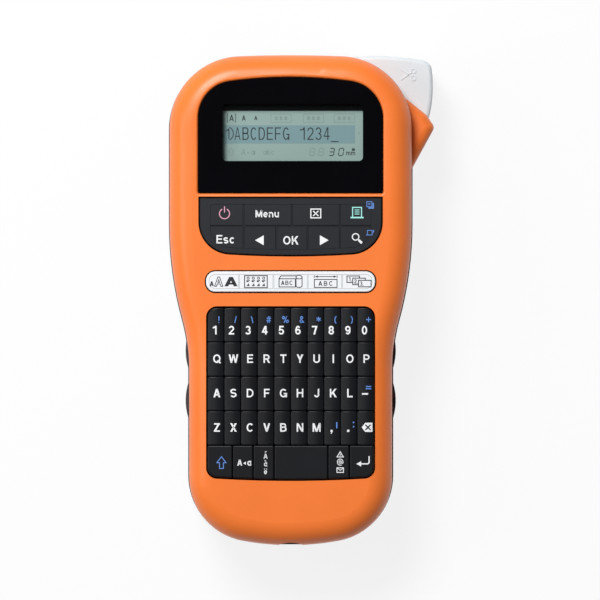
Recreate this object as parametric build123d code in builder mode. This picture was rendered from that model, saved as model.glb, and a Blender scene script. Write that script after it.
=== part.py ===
"""Hand-held label maker, lying on its back.

Millimetres. +X to the right, +Y towards the display end, +Z out of the keyboard. The origin is on the
flat back, under the middle of the body.
"""
import os
from math import acos, atan2, cos, degrees, pi, radians, sin, sqrt, tan

from build123d import *

os.makedirs("parts", exist_ok=True)

# Face layout, stacked from the display end down
TOP_BORDER = 9.42
BEZEL_HEIGHT = 48.4
BAR_WIDTH = 1.3
PANEL_HEIGHT = 24.9
PANEL_GAP = 5.6
STRIP_HEIGHT = 9.6
STRIP_GAP = 5.4
KEY_PITCH_X = 6.9
KEY_PITCH_Y = 14.27
KEY_COLUMNS = 10
KEY_ROWS = 5
KEYBOARD_MARGIN = 0.6
CHIN = 27.07

BEZEL_HALF = 38.5
BEZEL_CORNER = 15.5
BEZEL_BOW = 184.0
BEZEL_BASE = 0.8
BEZEL_LIP = 1.0
PANEL_HALF = 38.3
PANEL_CORNER = 13.5
PANEL_BOW = 400.0
STRIP_WIDTH = 71.3
STRIP_CORNER = 4.4
KEYBOARD_CORNER = 4.6
KEYBOARD_BOW = 500.0

KEYBOARD_HEIGHT = KEY_ROWS * KEY_PITCH_Y + 2 * KEYBOARD_MARGIN
KEYBOARD_HALF = KEY_COLUMNS * KEY_PITCH_X / 2 + KEYBOARD_MARGIN

# Tape cassette and cells, which the body is built round
CASSETTE_WIDTH = 83.0
CASSETTE_DEPTH = 61.0
CASSETTE_HEIGHT = 16.0
CASSETTE_SHIFT = -2.5
CASSETTE_Z = 5.0
CASSETTE_WALL = 1.2
TAPE_WIDTH = 12.0
TAPE_THICKNESS = 0.15
CELL_COUNT = 6
CELL_RADIUS = 5.25
CELL_LENGTH = 44.5
CELL_PITCH = 10.9

# Body outline in plan
HEAD_MARGIN = 6.45
GRIP_BORDER = 7.2
HEAD_LENGTH = 70.0
TOP_BOW = 550.0
HEAD_CORNER = 30.0
SHOULDER_RADIUS = 152.0
WAIST_RADIUS = 74.7
GRIP_CORNER = 27.0
BOTTOM_BOW = 110.0

BODY_LENGTH = (TOP_BORDER + BEZEL_HEIGHT + BAR_WIDTH + PANEL_HEIGHT + PANEL_GAP + STRIP_HEIGHT
               + STRIP_GAP + KEYBOARD_HEIGHT + CHIN)
TOP_Y = BODY_LENGTH / 2
BOTTOM_Y = -TOP_Y
SIDE_X = CASSETTE_WIDTH / 2 - CASSETTE_SHIFT + HEAD_MARGIN
GRIP_X = KEYBOARD_HALF + GRIP_BORDER
SHOULDER_Y = TOP_Y - HEAD_LENGTH

# Walls, rounding and heights
WALL = 2.2
BAY_WALL = 1.6
FACE_ROUND = 9.5
BACK_ROUND = 10.0
REAR_PROUD = 0.8
FACE_Z = 56.0
COVER_THICKNESS = 2.2
BAY_GAP = 0.3
BAY_MOUTH = 5.0
GRIP_BUMP = 25.0
GRIP_PROUD = 1.1
DECK_THICKNESS = 2.5
DECK_ROOM = 0.5
SEAM_ABOVE_DECK = 3.0
LEVER_RISE = 1.0
LEVER_ARM_SINK = 0.5
LEVER_ARM_HEIGHT = 5.0
WING_ROOF = 7.0
WING_FLOOR = 2.0
PLATE_THICKNESS = 1.0
GEAR_THICKNESS = 3.0
GEAR_GAP = 0.5

DECK_Z = CASSETTE_Z + CASSETTE_HEIGHT + DECK_ROOM
DECK_TOP = DECK_Z + DECK_THICKNESS
PLATE_TOP = DECK_TOP + PLATE_THICKNESS
PART_Z = DECK_TOP + SEAM_ABOVE_DECK
GEAR_LOW_Z = PLATE_TOP + GEAR_GAP
GEAR_MID_Z = GEAR_LOW_Z + GEAR_THICKNESS + GEAR_GAP
GEAR_HIGH_Z = GEAR_MID_Z + GEAR_THICKNESS + GEAR_GAP
TAPE_Z = CASSETTE_Z + (CASSETTE_HEIGHT - TAPE_WIDTH) / 2
LEVER_LOW_Z = CASSETTE_Z + LEVER_RISE
LEVER_ARM_Z = GEAR_LOW_Z + GEAR_THICKNESS - LEVER_ARM_SINK
LEVER_TOP_Z = LEVER_ARM_Z + LEVER_ARM_HEIGHT
WING_TOP_Z = LEVER_TOP_Z + WING_ROOF
WING_LOW_Z = CASSETTE_Z - WING_FLOOR

# Face features along Y
BEZEL_TOP = TOP_Y - TOP_BORDER
BEZEL_BOTTOM = BEZEL_TOP - BEZEL_HEIGHT
PANEL_TOP = BEZEL_BOTTOM - BAR_WIDTH
PANEL_BOTTOM = PANEL_TOP - PANEL_HEIGHT
STRIP_Y = PANEL_BOTTOM - PANEL_GAP - STRIP_HEIGHT / 2
KEYBOARD_TOP = STRIP_Y - STRIP_HEIGHT / 2 - STRIP_GAP
KEYBOARD_BOTTOM = KEYBOARD_TOP - KEYBOARD_HEIGHT

# Keyboard stack, measured down from the face
KEY_PROUD = 1.0
PANEL_PROUD = 0.3
KEY_SKIRT = 5.0
KEY_CORNER = 0.7
KEY_CROWN = 0.4
KEY_DOME = 0.65
WIDE_CROWN = 0.6
KEY_GAP = 0.16
PAD_GAP = 0.55
PAD_CLEARANCE = 0.1
PAD_EDGE = 0.3
PANEL_GROOVE = 0.7
PANEL_GROOVE_DEPTH = 0.5
STRIP_GROOVE = 0.5
STRIP_GROOVE_DEPTH = 0.15
PANEL_RIM_SIDE = 4.9
PANEL_RIM_TOP = 3.2
PANEL_RIM_BOTTOM = 2.9
PANEL_RIM_CORNER = 5.0
PANEL_KEY_CORNER = 1.0
STRIP_RIM = 1.8
BOARD_DEPTH = 12.0
BOARD_THICKNESS = 1.6
MAT_THICKNESS = 1.4
COLLAR_HEIGHT = 2.5
COLLAR_WALL = 0.8
STEM_RADIUS = 1.3
STEM_CLEARANCE = 0.15
STEM_ROOM = 1.6
BOARD_FIT = 0.6
CHIP_SIZE = 12.0
CHIP_HEIGHT = 1.5
BOARD_TOP_DROP = 17.0
BOARD_OVER = 3.0

BOARD_Z = FACE_Z - BOARD_DEPTH
BOARD_TOP = BOARD_Z + BOARD_THICKNESS
MAT_TOP = BOARD_TOP + MAT_THICKNESS
KEY_BASE_Z = FACE_Z - KEY_SKIRT
STEM_END_Z = BOARD_TOP + STEM_ROOM
STEM_HOLE = STEM_RADIUS + STEM_CLEARANCE
BOARD_END = TOP_Y - BOARD_TOP_DROP
BOARD_START = KEYBOARD_BOTTOM - BOARD_OVER

# Display
BEZEL_THICKNESS = 1.8
BEZEL_DEPTH = 0.4
BEZEL_FIT = 0.15
LEDGE_WIDTH = 2.0
LEDGE_THICKNESS = 1.6
SCREEN_WIDTH = 58.2
SCREEN_HEIGHT = 23.6
SCREEN_CORNER = 1.7
SCREEN_DROP = 23.1
SCREEN_X = 0.9
WINDOW_BORDER = 2.5
WINDOW_THICKNESS = 0.95
GLASS_BORDER = 2.0
GLASS_THICKNESS = 2.6
GLASS_DEPTH = 5.4
GLASS_FIT = 0.3
FRAME_WALL = 1.8
FRAME_CORNER = 4.0
WINDOW_SEAT = 0.1
BEZEL_EDGE = 0.3
SHELF_WIDTH = 2.5

BEZEL_Z = FACE_Z - BEZEL_DEPTH - BEZEL_THICKNESS
SCREEN_Y = BEZEL_TOP - SCREEN_DROP
WINDOW_Z = BEZEL_Z - WINDOW_THICKNESS
GLASS_Z = FACE_Z - GLASS_DEPTH - GLASS_THICKNESS

# Print mechanism, measured from the display end
GEAR_MODULE = 0.6
PRESSURE_ANGLE = radians(25)
ADDENDUM = 0.95
DEDENDUM = 1.25
BACKLASH = 0.12
PINION_TEETH = 12
WHEEL_TEETH = 36
ROLLER_TEETH = 30
BORE_CLEARANCE = 0.06
POST_RADIUS = 1.5
SHAFT_RADIUS = 1.5
PLATEN_RADIUS = 4.25
PLATEN_X = 18.0
PLATEN_DROP = 22.5
TAPE_GAP = 0.2
MOTOR_RADIUS = 7.75
MOTOR_LENGTH = 17.0
MOTOR_COLLAR = 3.0
MOTOR_SHAFT = 1.0
HOLDER_WIDTH = 17.0
HOLDER_DEPTH = 11.0
HOLDER_WALL = 1.6
HOLDER_DROP = 1.4
SPLINE_RADIUS = 0.5
PLATE_WIDTH = 56.0
PLATE_HEIGHT = 40.0
PLATE_CORNER = 3.0
PLATE_PAST_PLATEN_X = 9.0
PLATE_PAST_PLATEN_Y = 9.5
PLATE_SCREW_INSET = 4.0
CASSETTE_BEHIND_TAPE = 0.9
MOTOR_RISE = radians(28.6)
SPINDLE_RADIUS = 3.0
SPOOL_RADIUS = 4.5
SPOOL_FIT = 0.15

TAPE_Y = TOP_Y - PLATEN_DROP - PLATEN_RADIUS - TAPE_GAP - TAPE_THICKNESS
CASSETTE_TOP = TAPE_Y - CASSETTE_BEHIND_TAPE
CASSETTE_BOTTOM = CASSETTE_TOP - CASSETTE_DEPTH
CASSETTE_Y = (CASSETTE_TOP + CASSETTE_BOTTOM) / 2


def turned(centre, distance, angle):
    """The point at a distance and an angle (radians) from a centre."""
    return (centre[0] + distance * cos(angle), centre[1] + distance * sin(angle))


PLATEN_AXIS = (PLATEN_X, TOP_Y - PLATEN_DROP)
STAGE_REACH = GEAR_MODULE * (PINION_TEETH + WHEEL_TEETH) / 2
ROLLER_REACH = GEAR_MODULE * (PINION_TEETH + ROLLER_TEETH) / 2
IDLER_AXIS = turned(PLATEN_AXIS, ROLLER_REACH, radians(210))
WHEEL_AXIS = turned(IDLER_AXIS, STAGE_REACH, radians(160))
MOTOR_AXIS = turned(WHEEL_AXIS, STAGE_REACH, pi - MOTOR_RISE)
SPINDLE_AXIS = turned(IDLER_AXIS, ROLLER_REACH, radians(-80))
HOLDER_Z = CASSETTE_Z - HOLDER_DROP
PLATE_X = PLATEN_X - PLATE_WIDTH / 2 + PLATE_PAST_PLATEN_X
PLATE_Y = PLATEN_AXIS[1] - PLATE_HEIGHT / 2 + PLATE_PAST_PLATEN_Y

# Tape roll in the cassette
ROLL_RADIUS = 20.0
ROLL_X = -20.0
ROLL_BORE = 6.0
ROLL_FIT = 0.2
ROLL_MARGIN = 5.0
SPINDLE_ROOM = 0.6
CASSETTE_CORNER = 2.0
LID_TOP = CASSETTE_Z + CASSETTE_WALL
ROLL_Y = CASSETTE_BOTTOM + ROLL_RADIUS + CASSETTE_WALL + ROLL_MARGIN

# Print head
HEAD_WIDTH = 15.0
HEAD_THICKNESS = 1.0
SINK_THICKNESS = 2.0
HEAD_GAP = 0.15
NOTCH_WIDTH = 22.0
NOTCH_DEPTH = 7.0
HEAD_FACE_Y = TAPE_Y - HEAD_GAP

# Cutter lever and the wing that the tape leaves by
PIVOT_X = 34.0
PIVOT_DROP = 25.0
PIVOT_RADIUS = 1.5
HUB_RADIUS = 4.5
LEVER_REACH = 9.2
LEVER_DROP = 23.4
LEVER_TIP_DROP = 26.5
LEVER_LEFT = 26.0
LEVER_CREST = 40.0
LEVER_CREST_RISE = 0.3
LEVER_SLOPE = 5.2
LEVER_SLOPE_DROP = 1.5
LEVER_SHOULDER = 0.8
LEVER_SHOULDER_DROP = 3.2
LEVER_BULGE_DROP = 14.0
LEVER_TIP_INSET = 1.9
LEVER_SOLE = 12.0
LEVER_ARM_WIDTH = 10.0
LEVER_ARM_LAP = 1.0
LEVER_BLADE_SIDE = 2.0
LEVER_STROKE = 9.0
STROKE_STEPS = 3
LEVER_CLEARANCE = 0.6
LEVER_CORNER = 3.2
LEVER_EDGE = 1.6
LEVER_SKIN = 2.0
BLADE_THICKNESS = 0.6
BLADE_LIFT = 1.6
BLADE_LENGTH = 7.0
WING_REACH = 9.9
WING_ROUND = 2.5
WING_EDGE = 4.0
WING_ROOT = 8.0
WING_TOP_DROP = 17.5
WING_TOP_INSET = 2.3
WING_BEND = 6.5
WING_BEND_DROP = 24.6
WING_TIP_DROP = 29.7
WING_END = 0.6
WING_END_DROP = 46.7
BLADE_OUT = 0.8
ANVIL_DROP = 1.4
SPRING_WIRE = 0.5
SPRING_TURNS = 3
LEVER_SOLID = 8.0
HUB_NECK = 2.8
HUB_SEAT = 0.3
BLADE_OVER = 0.6
PIN_HEAD = 3.2
PIN_PLAY = 0.2
TAPE_END = 1.2
TAPE_BEND = 2.5
TAPE_SLOT = 5.0
TAPE_SLOT_X = 0.0

PIVOT = (PIVOT_X, TOP_Y - PIVOT_DROP)
BLADE_X = SIDE_X + BLADE_OUT
BLADE_Y = TAPE_Y + TAPE_THICKNESS + BLADE_LIFT + BLADE_LENGTH / 2
ANVIL_Y = TAPE_Y - ANVIL_DROP

# Back cover, cells and inlet, measured from the other end
COVER_MARGIN = 5.2
COVER_GAP = 0.3
COVER_TOP_DROP = 23.0
HINGE_RISE = 24.8
TAB_WIDTH = 9.0
TAB_REACH = 3.0
TAB_THICKNESS = 1.8
TAB_X = 20.0
CELL_RISE = 32.5
CELL_Z = 8.0
CONTACT_THICKNESS = 0.5
CELL_BAY_FIT = 0.6
COVER_SEAT = 0.2
TAB_FIT = 0.3
THUMB_DROP = 12.0
THUMB_PITCH = 2.4
THUMB_RIBS = 5
THUMB_WIDTH = 22.0
THUMB_DEPTH = 0.6
JACK_RADIUS = 5.3
JACK_LENGTH = 15.0
JACK_FIT = 0.15
JACK_MOUTH = 4.2
JACK_MOUTH_DEPTH = 5.0
JACK_BORE = 2.9
JACK_PIN = 0.8
JACK_RECESS = 1.2
SCOOP_RADIUS = 13.0
SCOOP_DEPTH = 1.2
CELL_EDGE = 0.5
GRIP_RISES = (60.0, 81.0)

JACK_FACE = -BOTTOM_Y - JACK_RECESS
HINGE_Y = BOTTOM_Y + HINGE_RISE
COVER_TOP_Y = TOP_Y - COVER_TOP_DROP
CELL_BOTTOM = BOTTOM_Y + CELL_RISE
CELL_MID = CELL_BOTTOM + CELL_LENGTH / 2
CELL_BAY_HALF = CELL_COUNT * CELL_PITCH / 2 + CELL_BAY_FIT
CELL_BAY_LENGTH = CELL_LENGTH + 2 * (CONTACT_THICKNESS + CELL_BAY_FIT)
CELL_BAY_TOP = CELL_Z + CELL_RADIUS + BAY_GAP
BAY_FLOOR = COVER_THICKNESS + COVER_SEAT
GRIP_Y = [BOTTOM_Y + rise for rise in GRIP_RISES]

# Screws and bosses
SCREW_RADIUS = 1.25
SCREW_HEAD = 2.5
SCREW_HEAD_HEIGHT = 1.8
SCREW_FIT = 0.05
BOSS_RADIUS = 4.0
POST_BOSS = 3.2
BOARD_BOSS = 2.2
BOARD_SCREW_GRIP = 5.0
SCREW_GRIP = 9.0
SCREW_END = PART_Z + SCREW_GRIP
SCREW_SINK = 2.0
SCREW_SEAT = BAY_FLOOR + SCREW_SINK + SCREW_HEAD_HEIGHT
CASE_SCREWS = [(-34.0, TOP_Y - 15.0), (12.0, TOP_Y - 8.0), (-GRIP_X + 3.0, -5.0), (GRIP_X - 3.0, -5.0),
               (-26.0, BOTTOM_Y + 15.0), (26.0, BOTTOM_Y + 15.0)]
BOARD_SCREW_SIDE = 2.0
BOARD_SCREW_X = KEYBOARD_HALF + BOARD_SCREW_SIDE
BOARD_SCREWS = [(side * BOARD_SCREW_X, y) for side in (-1, 1)
                for y in (KEYBOARD_BOTTOM + 5.0, KEYBOARD_TOP - 22.0, PANEL_BOTTOM - 3.0)]
PLATE_SCREW_X = PLATE_WIDTH / 2 - PLATE_SCREW_INSET
PLATE_SCREW_Y = PLATE_Y - PLATE_HEIGHT / 2 + PLATE_SCREW_INSET
CHASSIS_SCREWS = [(PLATE_X - PLATE_SCREW_X, PLATE_SCREW_Y), (PLATE_X + PLATE_SCREW_X, PLATE_SCREW_Y),
                  (PLATE_X - PLATE_SCREW_X, PLATE_Y)]


def arched_face(half, base, crown, corner, bow, base_corner=0.0, grow=0.0):
    """A plate outline with a straight base, straight sides and a bowed end with round corners."""
    way = 1 if crown > base else -1
    height = abs(crown - base) + grow
    half = half + grow
    corner = corner + grow
    bow = bow + grow
    bow_y = height - bow
    corner_y = bow_y + sqrt((bow - corner) ** 2 - (half - corner) ** 2)
    meet = atan2(corner_y - bow_y, half - corner)

    def at(x, y):
        return (x, base + way * y)

    corner_mid = at(half - corner + corner * cos(meet / 2), corner_y + corner * sin(meet / 2))
    bow_mid = (meet + pi / 2) / 2
    with BuildSketch() as face:
        with BuildLine():
            Line(at(0, -grow), at(half, -grow))
            Line(at(half, -grow), at(half, corner_y))
            tangent = at(bow * cos(meet), bow_y + bow * sin(meet))
            ThreePointArc(at(half, corner_y), corner_mid, tangent)
            ThreePointArc(tangent, at(bow * cos(bow_mid), bow_y + bow * sin(bow_mid)), at(0, height))
            mirror(about=Plane.YZ)
        make_face()
        if base_corner + grow > 0 and base_corner > 0:
            base_points = face.vertices().group_by(Axis.Y)[0 if way > 0 else -1]
            fillet(base_points, radius=base_corner + grow)
    return face.sketch


def body_face(grow=0.0):
    """The body's outline in plan, moved out by grow: arcs that keep their centres, and tangent lines."""
    head_x = SIDE_X - HEAD_CORNER
    bow_y = TOP_Y - TOP_BOW
    head_y = bow_y + sqrt((TOP_BOW - HEAD_CORNER) ** 2 - head_x ** 2)
    head_angle = degrees(atan2(head_y - bow_y, head_x))
    step = SIDE_X - GRIP_X
    both = SHOULDER_RADIUS + WAIST_RADIUS
    waist_y = SHOULDER_Y - sqrt(both ** 2 - (both - step) ** 2)
    turn = degrees(acos((both - step) / both))
    grip_x = GRIP_X - GRIP_CORNER
    chin_y = BOTTOM_Y + BOTTOM_BOW
    grip_y = chin_y - sqrt((BOTTOM_BOW - GRIP_CORNER) ** 2 - grip_x ** 2)
    grip_angle = degrees(atan2(grip_y - chin_y, grip_x))
    with BuildSketch() as face:
        with BuildLine():
            CenterArc((0, bow_y), TOP_BOW + grow, head_angle, 90 - head_angle)
            CenterArc((head_x, head_y), HEAD_CORNER + grow, 0, head_angle)
            Line((SIDE_X + grow, head_y), (SIDE_X + grow, SHOULDER_Y))
            CenterArc((SIDE_X - SHOULDER_RADIUS, SHOULDER_Y), SHOULDER_RADIUS + grow, -turn, turn)
            CenterArc((GRIP_X + WAIST_RADIUS, waist_y), WAIST_RADIUS - grow, 180 - turn, turn)
            Line((GRIP_X + grow, waist_y), (GRIP_X + grow, grip_y))
            CenterArc((grip_x, grip_y), GRIP_CORNER + grow, grip_angle, -grip_angle)
            CenterArc((0, chin_y), BOTTOM_BOW + grow, -90, 90 + grip_angle)
            mirror(about=Plane.YZ)
        make_face()
    return face.sketch


def front_form(grow=0.0):
    """The front half's solid form, moved out by grow, from the seam up to the rounded face."""
    with BuildPart() as form:
        with BuildSketch(Plane.XY.offset(PART_Z)):
            add(body_face(grow))
        extrude(amount=FACE_Z + grow - PART_Z)
        fillet(form.faces().sort_by(Axis.Z)[-1].edges(), radius=FACE_ROUND + grow)
    return form.part


def rear_form(grow=0.0, lift=0.0):
    """The rear half's solid form, moved out by grow, from the flat back, raised by lift, to the seam."""
    with BuildPart() as form:
        with BuildSketch(Plane.XY.offset(lift)):
            add(body_face(grow))
        extrude(amount=PART_Z - lift)
        fillet(form.faces().sort_by(Axis.Z)[0].edges(), radius=BACK_ROUND - lift)
    return form.part


def post_holes(places, radius):
    """Round holes or posts at a list of places."""
    with BuildSketch() as holes:
        with Locations(*places):
            Circle(radius)
    return holes.sketch


def wing_face(grow=0.0):
    """The wing beside the head: the tape leaves past its tip."""
    root = SIDE_X - WING_ROOT
    with BuildSketch() as face:
        with BuildLine():
            Polyline((root, TOP_Y - WING_TOP_DROP), (SIDE_X - WING_TOP_INSET, TOP_Y - WING_TOP_DROP),
                     (SIDE_X + WING_BEND, TOP_Y - WING_BEND_DROP),
                     (SIDE_X + WING_REACH, TOP_Y - WING_TIP_DROP),
                     (SIDE_X + WING_END, TOP_Y - WING_END_DROP), (root, TOP_Y - WING_END_DROP), close=True)
        make_face()
        fillet(face.vertices().group_by(Axis.X)[-1], radius=WING_ROUND)
        if grow != 0:
            offset(amount=grow)
    return face.sketch


def wing_form(low, high):
    """The wing as a solid between two heights, its outer edge rounded at the end away from the seam."""
    with BuildPart() as form:
        with BuildSketch(Plane.XY.offset(low)):
            add(wing_face())
        extrude(amount=high - low)
        outer = form.faces().sort_by(Axis.Z)[-1 if high > PART_Z else 0]
        fillet(outer.edges().filter_by(lambda e: e.center().X > SIDE_X - WING_ROOT + 1.0), radius=WING_EDGE)
    return form.part


def lever_face(low=False, grow=0.0):
    """The lever in plan. The low part leaves out the arm that reaches in to the pivot."""
    right = SIDE_X + LEVER_REACH
    arm_x = PIVOT_X + LEVER_ARM_WIDTH
    with BuildSketch() as face:
        with BuildLine():
            crown = ThreePointArc((LEVER_LEFT, TOP_Y), (LEVER_CREST, TOP_Y + LEVER_CREST_RISE),
                                  (SIDE_X + LEVER_SLOPE, TOP_Y - LEVER_SLOPE_DROP))
            shoulder = (right - LEVER_SHOULDER, TOP_Y - LEVER_SHOULDER_DROP)
            Line(crown @ 1, shoulder)
            side = ThreePointArc(shoulder, (right, TOP_Y - LEVER_BULGE_DROP),
                                 (right - LEVER_TIP_INSET, TOP_Y - LEVER_TIP_DROP))
            Polyline(side @ 1, (BLADE_X + LEVER_BLADE_SIDE, TOP_Y - LEVER_TIP_DROP),
                     (BLADE_X + LEVER_BLADE_SIDE, TOP_Y - LEVER_DROP), (arm_x, TOP_Y - LEVER_DROP),
                     (arm_x, TOP_Y - LEVER_SOLE), (LEVER_LEFT, TOP_Y - LEVER_SOLE), crown @ 0)
        make_face()
        fillet(face.vertices().filter_by(lambda v: v.X > SIDE_X and v.Y > TOP_Y - LEVER_SOLE / 2),
               radius=LEVER_CORNER)
        if not low:
            with BuildLine():
                Polyline((PIVOT_X - HUB_RADIUS, PIVOT[1]), (arm_x + LEVER_ARM_LAP, PIVOT[1]),
                         (arm_x + LEVER_ARM_LAP, TOP_Y - LEVER_SOLE + LEVER_ARM_LAP),
                         (PIVOT_X - HUB_RADIUS, TOP_Y - LEVER_SOLE + LEVER_ARM_LAP), close=True)
            make_face()
            with Locations(PIVOT):
                Circle(HUB_RADIUS)
        if grow != 0:
            offset(amount=grow)
    return face.sketch


def lever_sweep(low=False):
    """The room that the lever needs over its whole stroke, with its clearance."""
    with BuildSketch() as room:
        home = Location((-PIVOT[0], -PIVOT[1], 0))
        for step in range(STROKE_STEPS + 1):
            turn = Location((*PIVOT, 0), (0, 0, -LEVER_STROKE * step / STROKE_STEPS))
            add(turn * home * lever_face(low, LEVER_CLEARANCE))
    return room.sketch


def gear_face(teeth, phase, bore):
    """A spur gear with involute flanks, thinned for backlash, turned to its phase (radians)."""
    pitch = GEAR_MODULE * teeth / 2
    base = pitch * cos(PRESSURE_ANGLE)
    tip = pitch + ADDENDUM * GEAR_MODULE
    root = pitch - DEDENDUM * GEAR_MODULE
    foot = max(base, root) + 0.01
    half_tooth = pi / (2 * teeth) - BACKLASH / (4 * pitch)

    def involute(angle):
        return tan(angle) - angle

    def half_angle(radius):
        return half_tooth + involute(PRESSURE_ANGLE) - involute(acos(min(1.0, base / radius)))

    def at(radius, angle):
        return (radius * cos(angle), radius * sin(angle))

    middle = (foot + tip) / 2
    step = 2 * pi / teeth
    with BuildSketch() as face:
        with BuildLine():
            for tooth in range(teeth):
                mid = phase + tooth * step
                low = half_angle(foot)
                top = half_angle(tip)
                Line(at(root, mid - low), at(foot, mid - low))
                ThreePointArc(at(foot, mid - low), at(middle, mid - half_angle(middle)), at(tip, mid - top))
                ThreePointArc(at(tip, mid - top), at(tip, mid), at(tip, mid + top))
                ThreePointArc(at(tip, mid + top), at(middle, mid + half_angle(middle)), at(foot, mid + low))
                Line(at(foot, mid + low), at(root, mid + low))
                ThreePointArc(at(root, mid + low), at(root, mid + step / 2), at(root, mid + step - low))
        make_face()
        if bore > 0:
            Circle(bore, mode=Mode.SUBTRACT)
    return face.sketch


def mesh_phase(driver_teeth, driver_phase, driver_axis, teeth, axis):
    """The phase that puts a gap of the driven gear against a tooth of its driver."""
    line = atan2(axis[1] - driver_axis[1], axis[0] - driver_axis[0])
    share = 0.5 - driver_teeth * (line - driver_phase) / (2 * pi)
    return line + pi - share * 2 * pi / teeth


# Where each gear's teeth stand
PINION_PHASE = 0.0
WHEEL_PHASE = mesh_phase(PINION_TEETH, PINION_PHASE, MOTOR_AXIS, WHEEL_TEETH, WHEEL_AXIS)
IDLER_PHASE = mesh_phase(PINION_TEETH, WHEEL_PHASE, WHEEL_AXIS, WHEEL_TEETH, IDLER_AXIS)
ROLLER_PHASE = mesh_phase(PINION_TEETH, IDLER_PHASE, IDLER_AXIS, ROLLER_TEETH, PLATEN_AXIS)
SPINDLE_PHASE = mesh_phase(PINION_TEETH, IDLER_PHASE, IDLER_AXIS, ROLLER_TEETH, SPINDLE_AXIS)


def cover_face(grow=0.0):
    """The back cover in plan: the body's outline drawn in, cut off square at both ends."""
    with BuildSketch() as face:
        add(body_face(grow - COVER_MARGIN))
        with Locations((0, (HINGE_Y + COVER_TOP_Y) / 2)):
            Rectangle(2 * SIDE_X, COVER_TOP_Y - HINGE_Y + 2 * grow, mode=Mode.INTERSECT)
    return face.sketch


def function_window(shrink=0.0):
    """The opening in the function panel that its nine keys fill."""
    return arched_face(PANEL_HALF - PANEL_RIM_SIDE, PANEL_TOP - PANEL_RIM_TOP, PANEL_BOTTOM + PANEL_RIM_BOTTOM,
                       PANEL_CORNER - PANEL_RIM_CORNER, PANEL_BOW, PANEL_KEY_CORNER, -shrink)


def strip_window(shrink=0.0):
    """The opening in the template panel that its five keys fill."""
    with BuildSketch() as face:
        with Locations((0, STRIP_Y)):
            RectangleRounded(STRIP_WIDTH - 2 * (STRIP_RIM + shrink), STRIP_HEIGHT - 2 * (STRIP_RIM + shrink),
                             STRIP_CORNER - STRIP_RIM - shrink)
    return face.sketch


def pad_faces(names, window, groove, fit=0.0):
    """The shares of a panel's opening that its keys take, grown by fit, with the grooves left out."""
    with BuildSketch() as face:
        for name in names:
            left, right, low, high = pad_boxes[name]
            with Locations(((left + right) / 2, (low + high) / 2)):
                Rectangle(right - left - groove + 2 * fit, high - low - groove + 2 * fit)
        add(window, mode=Mode.INTERSECT)
    return face.sketch


def bezel_face(grow=0.0):
    """The display bezel's outline: square at the bottom, arched at the top."""
    return arched_face(BEZEL_HALF, BEZEL_BOTTOM, BEZEL_TOP, BEZEL_CORNER, BEZEL_BOW, BEZEL_BASE, grow)


def function_face(grow=0.0):
    """The function panel's opening: square at the top, with large round corners at the bottom."""
    return arched_face(PANEL_HALF, PANEL_TOP, PANEL_BOTTOM, PANEL_CORNER, PANEL_BOW, grow=grow)


def keyboard_opening(grow=0.0):
    """The opening in the face round the letter keys, bowed at the bottom."""
    return arched_face(KEYBOARD_HALF, KEYBOARD_TOP, KEYBOARD_BOTTOM, KEYBOARD_CORNER, KEYBOARD_BOW,
                       base_corner=KEYBOARD_CORNER, grow=grow)


# Key places
ROW_Y = [KEYBOARD_TOP - KEYBOARD_MARGIN - (row + 0.5) * KEY_PITCH_Y for row in range(KEY_ROWS)]
COLUMN_X = [(column - (KEY_COLUMNS - 1) / 2) * KEY_PITCH_X for column in range(KEY_COLUMNS)]
LETTER_ROWS = dict(zip(["number_keys", "upper_letter_keys", "home_letter_keys", "lower_letter_keys"], ROW_Y))
BOTTOM_KEYS = {"shift_key": 1.51, "caps_key": 1.24, "accent_key": 1.26, "space_key": 3.24,
               "symbol_key": 1.29, "enter_key": 1.46}
PANEL_SPLIT_RISE = 0.3
PANEL_MID = (PANEL_TOP + PANEL_BOTTOM) / 2 + PANEL_SPLIT_RISE
UPPER_SPLITS = [-PANEL_HALF, -19.5, 0.5, 20.5, PANEL_HALF]
LOWER_SPLITS = [-PANEL_HALF, -19.5, -6.0, 7.0, 20.5, PANEL_HALF]
OUTER_STEM_LIMIT = 29.0
UPPER_FUNCTIONS = ["power_key", "menu_key", "clear_key", "print_key"]
LOWER_FUNCTIONS = ["escape_key", "left_key", "ok_key", "right_key", "preview_key"]
TEMPLATE_KEYS = ["font_key", "frame_key", "wrap_key", "length_key", "serial_key"]
STRIP_PITCH = 14.25

# Each function and template key: its name, and the box that it takes of its panel's opening
pad_boxes = {}
for name, left, right in zip(UPPER_FUNCTIONS, UPPER_SPLITS, UPPER_SPLITS[1:]):
    pad_boxes[name] = (left, right, PANEL_MID, PANEL_TOP)
for name, left, right in zip(LOWER_FUNCTIONS, LOWER_SPLITS, LOWER_SPLITS[1:]):
    pad_boxes[name] = (left, right, PANEL_BOTTOM, PANEL_MID)
for place, name in enumerate(TEMPLATE_KEYS):
    left = (place - len(TEMPLATE_KEYS) / 2) * STRIP_PITCH
    pad_boxes[name] = (left, left + STRIP_PITCH, STRIP_Y - STRIP_HEIGHT / 2, STRIP_Y + STRIP_HEIGHT / 2)

# Bottom-row keys: name, middle and width, from their shares of the pitch
bottom_places = {}
edge = -KEY_COLUMNS * KEY_PITCH_X / 2
for name, share in BOTTOM_KEYS.items():
    span = share * KEY_PITCH_X
    bottom_places[name] = (edge + span / 2, span)
    edge += span


def pad_centre(name):
    """Where a function or template key's stem stands."""
    left, right, low, high = pad_boxes[name]
    if name in TEMPLATE_KEYS:
        return ((left + right) / 2, STRIP_Y)
    return ((max(left, -OUTER_STEM_LIMIT) + min(right, OUTER_STEM_LIMIT)) / 2, (low + high) / 2)


stem_places = [(x, y) for y in LETTER_ROWS.values() for x in COLUMN_X]
stem_places += [(x, ROW_Y[-1]) for x, span in bottom_places.values()]
stem_places += [pad_centre(name) for name in pad_boxes]


def save(piece, name):
    """Label a finished piece and write it."""
    piece.label = name
    export_step(piece, f"parts/{name}.step")


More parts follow.
